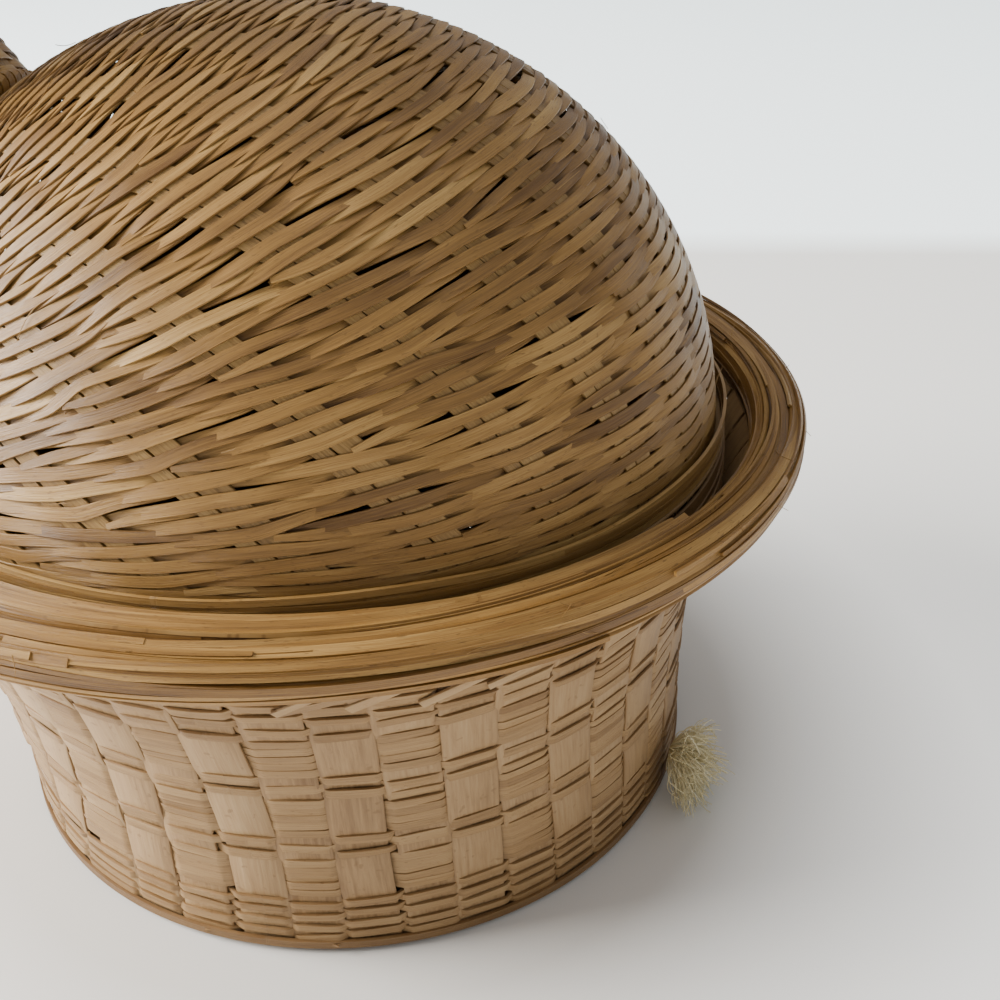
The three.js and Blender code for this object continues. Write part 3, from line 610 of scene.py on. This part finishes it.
def fibre(strips, start, along, out):
    steps = 14
    length, lift = chance.uniform(1.5, 5), chance.uniform(0.03, 0.25)
    t = np.linspace(0, 1, steps)[:, None]
    side = np.cross(along, out) * chance.normal(0, 0.35)
    path = start + length * (along * t + out * lift * t ** 2 + side * t ** 2) + 0.1 * out
    width = 0.10 * (1 - 0.6 * t[:, 0])
    strips.add(path, np.tile(out, (steps, 1)), width, 0.06, tone=chance.uniform(0.5, 1.0))


# The dome

DOME = 57.0
DOME_MIDDLE = np.array([0.0, 0.0, 55.0])
ROW_LINE = np.array([0.0, -60.2, 2.5])  # the line along X that all planes of rows share, from the middle
STAKE_LINE = np.array([0.0, -15.5, -15.5])  # a point of the slanting line that all stakes' planes share
AHEAD = np.array([0.0, -1.0, -1.0]) / math.sqrt(2)
STAKE_LINE_WAY = np.array([0.0, 1.0, -1.0]) / math.sqrt(2)
NECK_ANGLE = math.radians(60)
DOME_STAKES = 36
STAKE_TURN = math.radians(5.5)
PITCH = 1.0
DOME_WEFT, DOME_WEFT_THICKNESS = 1.46, 0.24
DOME_SKIN = 0.5  # from the dome's outside to the middle of its weave
DOME_LEVEL = 0.31  # how far a strip goes out over a stake and in under one
FAR_WIDENING = 0.16  # the far side is woven closer
DOME_STAKE_WIDTH, DOME_STAKE_SPREAD = 4.6, 0.07  # the most, and per millimetre from the line they share
SPLIT = ((-0.5, 0.1), (0.11, 0.5))  # the two strips of a split stake, in shares of its width
# How a strip climbs over a stake and falls under the next, by its share of the way between them
CLIMB = ([0, 0.1, 0.45, 0.8, 1.0], [-1.0, -0.25, 0.2, 0.85, 1.0])
FALL = ([0, 0.15, 0.55, 0.85, 1.0], [1.0, 0.8, 0.1, -0.75, -1.0])
GOLDEN = 0.618034  # spreads the short rows evenly among the long ones
LID_STAKE_THICKNESS = 0.36
OUTER_HOOP_RADIUS, OUTER_HOOP_HEIGHTS = 57.75, (57.9, 58.5, 59.0, 59.6, 60.1)
INNER_HOOP_RADIUS, INNER_HOOP_HEIGHT, INNER_HOOP_WIDTH = 55.0, 59.0, 2.8


def dome_place(angle, turn, ball):
    """Point about the dome's middle, where the row at an angle meets the stakes' plane at a turn."""
    angle, turn, ball = np.broadcast_arrays(angle, turn, ball)
    offset = -np.sin(angle) * ROW_LINE[1] + np.cos(angle) * ROW_LINE[2]
    radius = np.sqrt(np.maximum(ball ** 2 - offset ** 2, 0))
    zero = np.zeros_like(offset)
    middle = np.stack([zero, -np.sin(angle) * offset, np.cos(angle) * offset], -1)
    along = np.stack([zero, np.cos(angle), np.sin(angle)], -1)
    square = np.stack([np.cos(turn), AHEAD[1] * np.sin(turn), AHEAD[2] * np.sin(turn)], -1)
    heading = np.stack([np.sin(turn), -AHEAD[1] * np.cos(turn), -AHEAD[2] * np.cos(turn)], -1)
    # The row's circle meets the stakes' plane twice: the place on the stake's own side is the one
    a = radius * square[..., 0]
    b = radius * (square * along).sum(-1)
    c = (square * (middle - STAKE_LINE)).sum(-1)
    base = np.arctan2(a, b)
    swing = np.arccos(np.clip(-c / np.hypot(a, b), -1, 1))
    places, scores = [], []
    for t in (base + swing, base - swing):
        place = middle + along * (radius * np.cos(t))[..., None]
        place[..., 0] += radius * np.sin(t)
        places.append(place)
        scores.append((heading * (place - STAKE_LINE)).sum(-1))
    return np.where((scores[1] > scores[0])[..., None], places[1], places[0])


def weave_sides(turn, row, stakes, first, half, slits=0.1):
    """Where a strip lies at each turn: +1 outside the stakes, -1 inside; and its shift along them.

    half is the share of the pitch on each side of a stake where it lies flat. A share of the places, most of
    them at the near side, is pushed aside under a stake, which opens a slit.
    """
    place = (turn - first) / WHOLE * stakes
    low = np.floor(place).astype(int)
    share = np.clip((place - low - half) / (1 - 2 * half), 0, 1)
    level = np.where((low + row) % 2 == 0, np.interp(share, *CLIMB), np.interp(share, *FALL))
    inside = (np.arange(stakes) + row) % 2 == 0
    slits = slits * (0.6 + 0.4 * np.sin(first + np.arange(stakes) / stakes * WHOLE))
    pushed = chance.uniform(0.48, 0.85, stakes) * chance.choice([-1, 1], stakes)
    rest = chance.normal(0, 0.12, stakes)
    shifts = np.where(inside, np.where(chance.uniform(0, 1, stakes) < slits, pushed, rest), rest * 0.7)
    shift = shifts[low % stakes] * (1 - place + low) + shifts[(low + 1) % stakes] * (place - low)
    return level, shift


def dome_rows():
    """The rows' angles at each turn. Short rows end on the sides, where the rows draw together."""
    turn = np.radians(np.arange(-180, 180, 0.6))
    grid = np.linspace(0, NECK_ANGLE, 181)
    place = dome_place(grid[:, None], turn[None], DOME)
    along = unit(np.roll(place, -1, 1) - np.roll(place, 1, 1))
    across = np.cross(place / DOME, along)
    step = np.abs((np.diff(place, axis=0) * (across[1:] + across[:-1]) / 2).sum(-1))
    reach = np.concatenate([np.zeros((1, len(turn))), np.cumsum(step, 0)])
    # Rows come in pairs, counted at the rear, where they lie a full pitch apart
    rear = int(np.argmin(np.abs(turn)))
    rows = 2 * int(reach[-1, rear] / PITCH / 2)
    angles = np.interp((np.arange(rows) + 0.5) / rows * reach[-1, rear], reach[:, rear], grid)
    full = np.stack([np.interp(angles, grid, reach[:, t]) for t in range(len(turn))], 1)
    gap = np.gradient(full, axis=0)
    # Where the room falls short, the pairs of highest rank end
    share = gap.reshape(rows // 2, 2, -1).mean(1) / PITCH
    rank = (np.arange(rows // 2) * GOLDEN + 0.3) % 1
    rank[[0, 1, -1]] = 0
    present = smooth((share - rank[:, None]) / 0.07 + 0.2).repeat(2, 0)
    # The rows that go on share the room of those that end
    window = np.exp(-0.5 * (np.arange(-9, 10) / 4.0) ** 2)
    padded = np.pad(present, ((9, 9), (0, 0)), mode="edge")
    window = window / window.sum()
    mean = np.stack([np.convolve(padded[:, t], window, "valid") for t in range(len(turn))], 1)
    part = gap * present / np.maximum(mean, 0.02)
    place = np.cumsum(part, 0) - part / 2
    place *= reach[-1] / place[-1]
    angle = np.stack([np.interp(place[:, t], reach[:, t], grid) for t in range(len(turn))], 1)
    pitch = part * (reach[-1] / np.cumsum(part, 0)[-1])
    return turn, angle, present, pitch


def weave_dome():
    strips = Strips()
    turn, angle, present, pitch = dome_rows()
    for row in range(len(angle)):
        keep = present[row] > 0.12
        if keep.sum() < 30:
            continue
        closed = bool(keep.all())
        t, a = turn[keep], angle[row][keep]
        level, shift = weave_sides(t, row, DOME_STAKES, STAKE_TURN, 0.175, 0.6)
        radial = DOME - DOME_SKIN + DOME_LEVEL * level
        place = dome_place(a, t, radial)
        along = unit(np.gradient(place, axis=0))
        out = unit(place)
        place = unit(place + np.cross(out, along) * shift[:, None]) * radial[:, None]
        knots = (t[-1] - t[0]) / WHOLE * DOME_STAKES
        width = DOME_WEFT + wander(len(t), knots / 3, 0.06, closed) + chance.normal(0, 0.07)
        width = np.clip(width, 1.2, 1.75) * np.clip(0.3 + 0.7 * pitch[row][keep] / PITCH, 0.5, 1.2)
        width = width * (1 + FAR_WIDENING * smooth(-np.sin(t)))
        tilt = 0.04 + 0.2 * (1 - level ** 2) + wander(len(t), knots / 3, 0.025, closed)
        strips.add(lean(place + DOME_MIDDLE), out, width, DOME_WEFT_THICKNESS, closed=closed, tilt=tilt,
                   depth=np.clip(-level - 0.3, 0, 1) * 0.7, tone=own_tone(0.50, 0.25))
    strips.piece("dome_wefts", dome_bamboo, "lid", "dome_bamboo", ["lid_dome"])


def fan_stakes():
    """The dome's split stakes. They fan out from the line that their planes share."""
    stakes = Strips()
    ball = DOME - DOME_SKIN
    angles = np.linspace(0, NECK_ANGLE, 90)
    for number in range(DOME_STAKES):
        middle = STAKE_TURN + number / DOME_STAKES * WHOLE
        ray = dome_place(angles, middle, DOME)
        reach = np.linalg.norm(np.cross(ray - STAKE_LINE, STAKE_LINE_WAY), axis=-1)
        width = np.minimum(DOME_STAKE_WIDTH, reach * DOME_STAKE_SPREAD)
        for low, high in SPLIT:
            side = middle + (low + high) / 2 * width / reach
            place = unit(dome_place(angles, side, ball)) * ball
            stakes.add(lean(place + DOME_MIDDLE), unit(place), width * (high - low), LID_STAKE_THICKNESS,
                       tone=chance.uniform(0.4, 0.8), depth=0.1)
    stakes.piece("dome_stakes", stake_bamboo, "lid", "stake_bamboo", ["lid_hoop_and_stakes"])


def lid_hoops():
    """Narrow strips round the dome's foot and one flat hoop inside it."""
    strips = Strips()
    for z in OUTER_HOOP_HEIGHTS:
        hoop(strips, OUTER_HOOP_RADIUS, z, chance.uniform(0.6, 1.0), 0.42, 0.2, tone=own_tone(0.5, 0.25))
    hoop(strips, INNER_HOOP_RADIUS, INNER_HOOP_HEIGHT, INNER_HOOP_WIDTH, 0.42, 0.12, depth=0.1)
    strips.piece("lid_hoops", dome_bamboo, "lid", "rim_bamboo", ["lid_hoop_outer"])


# The head, the ears and the neck

NECK_RISE, FACE_RISE = math.radians(30), math.radians(-14)
NECK_AXIS = np.array([0.0, -math.cos(NECK_RISE), math.sin(NECK_RISE)])
NECK_AWAY, NECK_RADIUS, HEAD = 53.37, 20.0, 25.0
NECK_GAP, NECK_HALF_RING = 0.3, 1.3
HEAD_MIDDLE = DOME_MIDDLE + NECK_AXIS * (NECK_AWAY + math.sqrt(HEAD ** 2 - NECK_RADIUS ** 2))
HEAD_STAKES, HEAD_ROWS, HEAD_FIRST_STAKE = 24, 48, 0.1
HEAD_ROWS_SPAN = math.radians(123)  # from the neck's circle to the nose
HEAD_SKIN, HEAD_LEVEL = 0.5, 0.34
HEAD_WEFT_SHARE, HEAD_STAKE_SHARE = 1.28, 0.55  # of the room that a strip has
MUZZLE, MUZZLE_POWER = 4.5, 6
CHEEK, CHEEK_POWER, CHEEK_SIDE, CHEEK_RISE = 1.8, 7, 46, -22


def face_way(side, rise):
    """Direction from the head's middle, from degrees to the side of straight ahead and above level."""
    side, rise = math.radians(side), math.radians(rise)
    return np.array([math.sin(side) * math.cos(rise), -math.cos(side) * math.cos(rise), math.sin(rise)])


FACE = np.array([0.0, -math.cos(FACE_RISE), math.sin(FACE_RISE)])


def head_reach(way):
    """Distance from the head's middle to its surface: a ball with a muzzle and cheeks."""
    muzzle = MUZZLE * np.maximum(way @ FACE, 0) ** MUZZLE_POWER
    cheeks = sum(CHEEK * np.maximum(way @ face_way(side, CHEEK_RISE), 0) ** CHEEK_POWER
                 for side in (-CHEEK_SIDE, CHEEK_SIDE))
    return HEAD + muzzle + cheeks


def head_way(share, turn):
    """Direction on the head: rows turn from the neck's circle at 0 to the nose at 1."""
    share, turn = np.broadcast_arrays(share, turn)
    rise = NECK_RISE + (FACE_RISE - NECK_RISE) * smooth(share)
    polar = math.pi - math.asin(NECK_RADIUS / HEAD) - share * HEAD_ROWS_SPAN
    axis = np.stack([np.zeros_like(rise), -np.cos(rise), np.sin(rise)], -1)
    up = np.stack([np.zeros_like(rise), np.sin(rise), np.cos(rise)], -1)
    level = np.array([1.0, 0.0, 0.0])
    return (np.cos(polar)[..., None] * axis
            + np.sin(polar)[..., None] * (np.cos(turn)[..., None] * up + np.sin(turn)[..., None] * level))


def weave_head():
    strips, stakes = Strips(), Strips()
    steps = 300
    turn = np.linspace(0, WHOLE, steps, endpoint=False)
    for row in range(HEAD_ROWS):
        share = (row + 0.5) / HEAD_ROWS
        way, ahead = head_way(share, turn), head_way(share + 1 / HEAD_ROWS, turn)
        gap = np.linalg.norm(ahead - way, axis=-1) * head_reach(way)
        level, shift = weave_sides(turn, row, HEAD_STAKES, HEAD_FIRST_STAKE, 0.2)
        way = unit(way + (ahead - way) * (shift * 0.6)[:, None])
        radial = head_reach(way) - HEAD_SKIN + HEAD_LEVEL * level
        width = gap * (HEAD_WEFT_SHARE + wander(steps, 12, 0.07, True))
        strips.add(lean(HEAD_MIDDLE + way * radial[:, None]), way, width, 0.28, closed=True,
                   depth=np.clip(-level - 0.3, 0, 1) * 0.8, tilt=0.12 + 0.15 * (1 - level ** 2),
                   tone=own_tone(0.52, 0.22))
    share = np.linspace(0, 0.99, 70)
    beside_turn = 0.02
    for number in range(HEAD_STAKES):
        middle = HEAD_FIRST_STAKE + number / HEAD_STAKES * WHOLE
        way = head_way(share, middle)
        beside = head_way(share, middle + beside_turn)
        room = np.linalg.norm(beside - way, axis=-1) / beside_turn * WHOLE / HEAD_STAKES * HEAD
        radial = head_reach(way) - HEAD_SKIN
        width = np.clip(room * HEAD_STAKE_SHARE, 0.3, 3.4)
        stakes.add(lean(HEAD_MIDDLE + way * radial[:, None]), way, width, LID_STAKE_THICKNESS,
                   tone=chance.uniform(0.4, 0.9))
    strips.piece("head_wefts", dome_bamboo, "lid", "dome_bamboo", ["head"])
    stakes.piece("head_stakes", stake_bamboo, "lid", "stake_bamboo")


def wrapped(strips, middle, out, side, half_out, half_side, pitch, width, closed=False):
    """Winds a strip round a core that runs through the points of middle; out and side span its section."""
    length = np.concatenate([[0], np.cumsum(np.linalg.norm(np.diff(middle, axis=0), axis=1))])
    turns = max(int(length[-1] / pitch), 1)
    t = np.linspace(0, 1, turns * 15, endpoint=not closed)
    angle = t * turns * WHOLE

    def along_core(values):
        return np.stack([np.interp(t * length[-1], length, values[:, i]) for i in range(3)], -1)

    core, out, side = along_core(middle), along_core(out), along_core(side)
    slack = 1 + wander(len(t), turns, 0.03)
    path = core + out * (half_out * slack * np.cos(angle))[:, None]
    path = path + side * (half_side * slack * np.sin(angle))[:, None]
    away = unit(out * (half_side * np.cos(angle))[:, None] + side * (half_out * np.sin(angle))[:, None])
    strips.add(path, away, width, 0.3, closed=closed)


def wrap_neck():
    strips = Strips()
    steps = 200
    turn = np.linspace(0, WHOLE, steps)
    up = np.array([0.0, NECK_AXIS[2], -NECK_AXIS[1]])
    radial = np.cos(turn)[:, None] * up + np.sin(turn)[:, None] * np.array([1.0, 0, 0])
    middle = DOME_MIDDLE + NECK_AXIS * (NECK_AWAY + NECK_GAP + NECK_HALF_RING) + radial * NECK_RADIUS
    axis = np.tile(NECK_AXIS, (steps, 1))
    wrapped(strips, lean(middle), radial, axis, half_out=2.0, half_side=1.25, pitch=1.75, width=1.62,
            closed=True)
    strips.piece("neck_wrapping", rim_bamboo, "lid", "rim_bamboo", ["neck_ring"])


EAR_HALF, EAR_ROOT, EAR_TIP = 11.5, 5.0, 62.0
EAR_BACK, EAR_SPLAY, EAR_SIDE = math.radians(-14), math.radians(12), math.radians(26)
EAR_CUP = 0.03
EAR_RIBS = 7
EAR_ROW, EAR_WEFT = 1.02, 1.27
RIB_INSET, WEFT_INSET, BINDING_INSET = 2.0, 1.6, 1.2


def bezier(points, t):
    a, b, c, d = points
    return a * (1 - t) ** 3 + 3 * b * t * (1 - t) ** 2 + 3 * c * t ** 2 * (1 - t) + d * t ** 3


def ear_half(inset, y):
    """Half the ear's width at a height above its root."""
    t = np.linspace(0, 1, 200)
    half, root, tip = EAR_HALF - inset, EAR_ROOT - inset, EAR_TIP - inset
    x = bezier((root, half * 1.35, half * 0.95, 0.0), t)
    rise = bezier((-3.0, 18.6, tip, tip), t)
    return np.interp(y, rise, x)


def ear_place(side, x, y, z):
    """Point of an ear: x across it, y up it and z towards its back; cupped, leaned back and splayed."""
    x, y, z = np.broadcast_arrays(x, y, z)
    point = np.stack([x, -(z + EAR_CUP * x ** 2), y], -1)
    lean_sin, lean_cos = math.sin(EAR_BACK), math.cos(EAR_BACK)
    splay_sin, splay_cos = math.sin(side * EAR_SPLAY), math.cos(side * EAR_SPLAY)
    point = point @ np.array([[1, 0, 0], [0, lean_cos, lean_sin], [0, -lean_sin, lean_cos]])
    point = point @ np.array([[splay_cos, 0, -splay_sin], [0, 1, 0], [splay_sin, 0, splay_cos]])
    foot = np.array([side * math.sin(EAR_SIDE), 0, math.cos(EAR_SIDE)]) * HEAD
    return lean(point + HEAD_MIDDLE + foot)


def ear_out(side, x, y):
    return unit(ear_place(side, x, y, 0.0) - ear_place(side, x, y, 0.1))


def weave_ear(side, label):
    strips, stakes, edge = Strips(), Strips(), Strips()
    y = np.linspace(-1.5, 58.8, 60)
    half = ear_half(RIB_INSET, y)
    for rib in range(EAR_RIBS):
        x = (rib - (EAR_RIBS - 1) / 2) / (EAR_RIBS / 2) * half
        width = np.clip(half * 2 / EAR_RIBS * 0.62, 0.5, 2.3)
        path = ear_place(side, x, y, 0.0)
        stakes.add(path, ear_out(side, x, y), width, 0.34, tone=chance.uniform(0.4, 0.9))
    steps = 64
    u = np.linspace(-1, 1, steps)
    for row, foot in enumerate(np.arange(0.2, 59.6, EAR_ROW)):
        wave = over_under(u * EAR_RIBS / 2 + (EAR_RIBS - 1) / 2, 2.2) * (1 if row % 2 else -1)
        x = u * float(ear_half(WEFT_INSET, min(foot, 58.4)))
        y = foot + wander(steps, 5, 0.09) + 0.5 * np.cos(u * math.pi / 2)
        width = EAR_WEFT + wander(steps, 4, 0.07)
        strips.add(ear_place(side, x, y, -0.3 * wave), ear_out(side, x, y), width, 0.26,
                   depth=np.clip(-wave, 0, 1) * 0.3, tone=own_tone(0.55, 0.2))
    t = np.linspace(-1, 1, 241)
    y = -2.2 + 63.0 * (1 - np.abs(t) ** 1.6)
    x = np.sign(t) * ear_half(BINDING_INSET, y)
    middle = ear_place(side, x, y, 0.0)
    face = ear_out(side, x, y)
    away = unit(np.cross(face, unit(np.gradient(middle, axis=0))))
    wrapped(edge, middle, away, face, half_out=1.05, half_side=1.05, pitch=1.5, width=1.42)
    strips.piece(f"ear_{label}_wefts", dome_bamboo, "lid", "dome_bamboo", [f"ear_{label}"])
    stakes.piece(f"ear_{label}_stakes", stake_bamboo, "lid", "stake_bamboo")
    edge.piece(f"ear_{label}_binding", rim_bamboo, "lid", "rim_bamboo", [f"ear_{label}_edge"])


# The seat and the tail

SEAT_LINING = ([43, 50, 55.7, 57.2], [55.5, 58.2, 58.0, 57.6])  # heights and radii
SEAT_ROW = 1.18
SEAT_STRIP = 1.42
SEAT_HOOPS = ((55.5, 57.0), (57.2, 56.95))  # radius and height
TAIL_FIBRES = 420
TAIL_ROUND = math.radians(16)  # from straight behind
TAIL_ROOT_RADIUS, TAIL_ROOT_HEIGHT = 54.2, 7.4
TAIL_WIDE, TAIL_TALL, TAIL_DROOP = 4.6, 3.6, 2.4


def weave_seat():
    """The lining of the mouth: fine strips inside the stakes and two flat hoops that the lid stands on."""
    strips = Strips()
    for z in np.arange(43.4, 55.6, SEAT_ROW):
        hoop(strips, np.interp(z, *SEAT_LINING), z, SEAT_STRIP, 0.35, 0.12, depth=0.1)
    for radius, z in SEAT_HOOPS:
        hoop(strips, radius, z, 1.9, 0.35, 0.08, rise=math.pi / 2)
    strips.piece("seat_strips", weft_bamboo, "basket", "stake_bamboo", ["seat_hoop"])


def tie_tail():
    """A tuft of soft fibres tied to the foot of the wall."""
    strips = Strips()
    steps = 16
    t = np.linspace(0, 1, steps)[:, None]
    up = np.array([0.0, 0.0, 1.0])
    way = np.array([math.sin(TAIL_ROUND), math.cos(TAIL_ROUND), 0.0])
    side = np.array([way[1], -way[0], 0.0])
    root = way * TAIL_ROOT_RADIUS + up * TAIL_ROOT_HEIGHT
    for _ in range(TAIL_FIBRES):
        spread = chance.normal(0, 1, 2)
        spread *= min(1, 1.6 / np.linalg.norm(spread))
        reach = chance.uniform(4.5, 9.5) * (1 - 0.22 * np.linalg.norm(spread))
        curl = chance.normal(0, 1.3, 3)
        path = root + way * reach * t + side * spread[0] * TAIL_WIDE * t ** 0.8
        path = path + up * (spread[1] * TAIL_TALL * t ** 0.8 - TAIL_DROOP * t ** 2)
        path = path + curl * np.sin(t * math.pi * chance.uniform(1, 2.2)) * t * 0.8
        path[:, 2] = np.maximum(path[:, 2], 0.25 + 0.3 * chance.uniform())
        strips.add(lean(path), np.tile(up, (steps, 1)) + curl * 0.3, 0.16 * (1 - 0.5 * t[:, 0]), 0.1,
                   tone=chance.uniform())
    strips.piece("tail_fibres", tail_fibre, "basket", "tail_fibre", ["tail_tuft"])


weave_wall()
weave_courses()
weave_bands()
lean_splints()
weave_base()
wind_rim()
weave_dome()
fan_stakes()
lid_hoops()
stray_fibres()
weave_seat()
tie_tail()
weave_head()
wrap_neck()
weave_ear(1, "left")
weave_ear(-1, "right")


# Pieces that stay as they are

BEAD_DARK, BEAD_LIGHT = (0.006, 0.004, 0.003), (0.03, 0.016, 0.01)


def gloss_bead():
    finish = Finish("gloss_bead")
    cloud = finish.noise(finish.object_place(), 400.0, 2.0)
    finish.set(Base_Color=finish.ramp(cloud, [(0.3, BEAD_DARK), (0.8, BEAD_LIGHT)]))
    finish.set(Roughness=cloud * 0.1 + 0.08)
    return finish.material


bead_finish = gloss_bead()
for node in ("eye_left", "eye_right", "nose"):
    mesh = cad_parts[node].data
    mesh.materials.clear()
    mesh.materials.append(bead_finish)


# Floor, light and camera

FLOOR_REACH = 3.0
FLOOR_DROP = 0.0001
TABLE_END = 0.245
TABLE_TURN = math.radians(8)
END_STEEPNESS, GLOW_STEEPNESS = 40.0, 4.0  # per metre, where the table ends and where its glow grows
UNDER_BASKET, BESIDE_BASKET = 0.31, 0.52  # in fifths of a metre: the glow begins between the two
TABLE_DARK, TABLE_LIGHT, WALL = (0.79, 0.785, 0.75), (0.82, 0.815, 0.78), (0.88, 0.94, 0.95, 1.0)
FAR_GLOW, NEAR_GLOW, WALL_GLOW = (0.56, 0.558, 0.53), (1.02, 1.00, 0.965), (1.38, 1.56, 1.58, 1.0)
BASKET_MIDDLE = (0, 0, 0.05)
SKY, SKY_STRENGTH = (0.95, 0.96, 0.98, 1.0), 0.50
CAMERA_PLACE = (0.1528, 0.0450, 0.1324)
CAMERA_AROUND, CAMERA_DOWN = math.radians(98), math.radians(30.7)
LENS, SENSOR = 42.16, 36.0


def make_floor():
    """A pale table that ends in a paler wall behind the basket. It glows, but not under the basket."""
    mesh = bpy.data.meshes.new("floor")
    corners = [(x * FLOOR_REACH, y * FLOOR_REACH, 0) for x, y in ((-1, -1), (1, -1), (1, 1), (-1, 1))]
    mesh.from_pydata(corners, [], [(0, 1, 2, 3)])
    floor = bpy.data.objects.new("floor", mesh)
    floor.location.z = -FLOOR_DROP
    bpy.context.scene.collection.objects.link(floor)
    finish = Finish("pale_floor")
    place = finish.object_place()
    x = finish.node("SeparateXYZ", {}, {0: place})
    y = finish.node("SeparateXYZ", {}, {0: place}, output=1)
    away = finish.node("VectorMath", {"operation": "LENGTH"}, {0: place}, output=1)
    behind = (0.0 - x) - y * math.tan(TABLE_TURN) - TABLE_END
    wall = finish.mask(behind * END_STEEPNESS + 0.5, 0.0, 1.0)
    table = finish.ramp(finish.noise(place, 3.0, 3.0), [(0.3, TABLE_DARK), (0.7, TABLE_LIGHT)])
    near = finish.ramp(x * GLOW_STEEPNESS + 0.5, [(0.1, FAR_GLOW), (0.95, NEAR_GLOW)])
    glow = finish.blend(wall, near, WALL_GLOW)
    glow = finish.blend(finish.mask(away * 5.0, UNDER_BASKET, BESIDE_BASKET), (*BLACK, 1.0), glow)
    finish.set(Base_Color=finish.blend(wall, table, WALL), Roughness=0.55)
    finish.set(Emission_Color=glow, Emission_Strength=1.0)
    mesh.materials.append(finish.material)


def area_light(name, place, size, power, color):
    light = bpy.data.lights.new(name, "AREA")
    light.shape = "DISK"
    light.size, light.energy, light.color = size, power, color
    lamp = bpy.data.objects.new(name, light)
    lamp.location = place
    lamp.rotation_euler = (Vector(BASKET_MIDDLE) - Vector(place)).to_track_quat("-Z", "Y").to_euler()
    bpy.context.scene.collection.objects.link(lamp)


def make_light():
    world = bpy.data.worlds.new("soft_sky")
    world.use_nodes = True
    world.node_tree.nodes["Background"].inputs["Color"].default_value = SKY
    world.node_tree.nodes["Background"].inputs["Strength"].default_value = SKY_STRENGTH
    bpy.context.scene.world = world
    area_light("window", (0.12, -1.05, 0.50), 0.7, 45, (1.0, 0.96, 0.91))
    area_light("overhead", (-0.2, -0.2, 1.1), 0.9, 3, (1.0, 0.99, 0.97))


def make_camera():
    level = math.cos(CAMERA_DOWN)
    x, y = math.sin(CAMERA_AROUND) * level, -math.cos(CAMERA_AROUND) * level
    back = Vector((x, y, math.sin(CAMERA_DOWN)))
    camera = bpy.data.objects.new("camera", bpy.data.cameras.new("camera"))
    camera.data.lens, camera.data.sensor_width = LENS, SENSOR
    camera.data.clip_start, camera.data.clip_end = 0.01, 50.0
    camera.location = CAMERA_PLACE
    camera.rotation_mode = "QUATERNION"
    camera.rotation_quaternion = (-back).to_track_quat("-Z", "Y")
    bpy.context.scene.collection.objects.link(camera)
    bpy.context.scene.camera = camera


make_floor()
make_light()
make_camera()
bpy.context.view_layer.update()
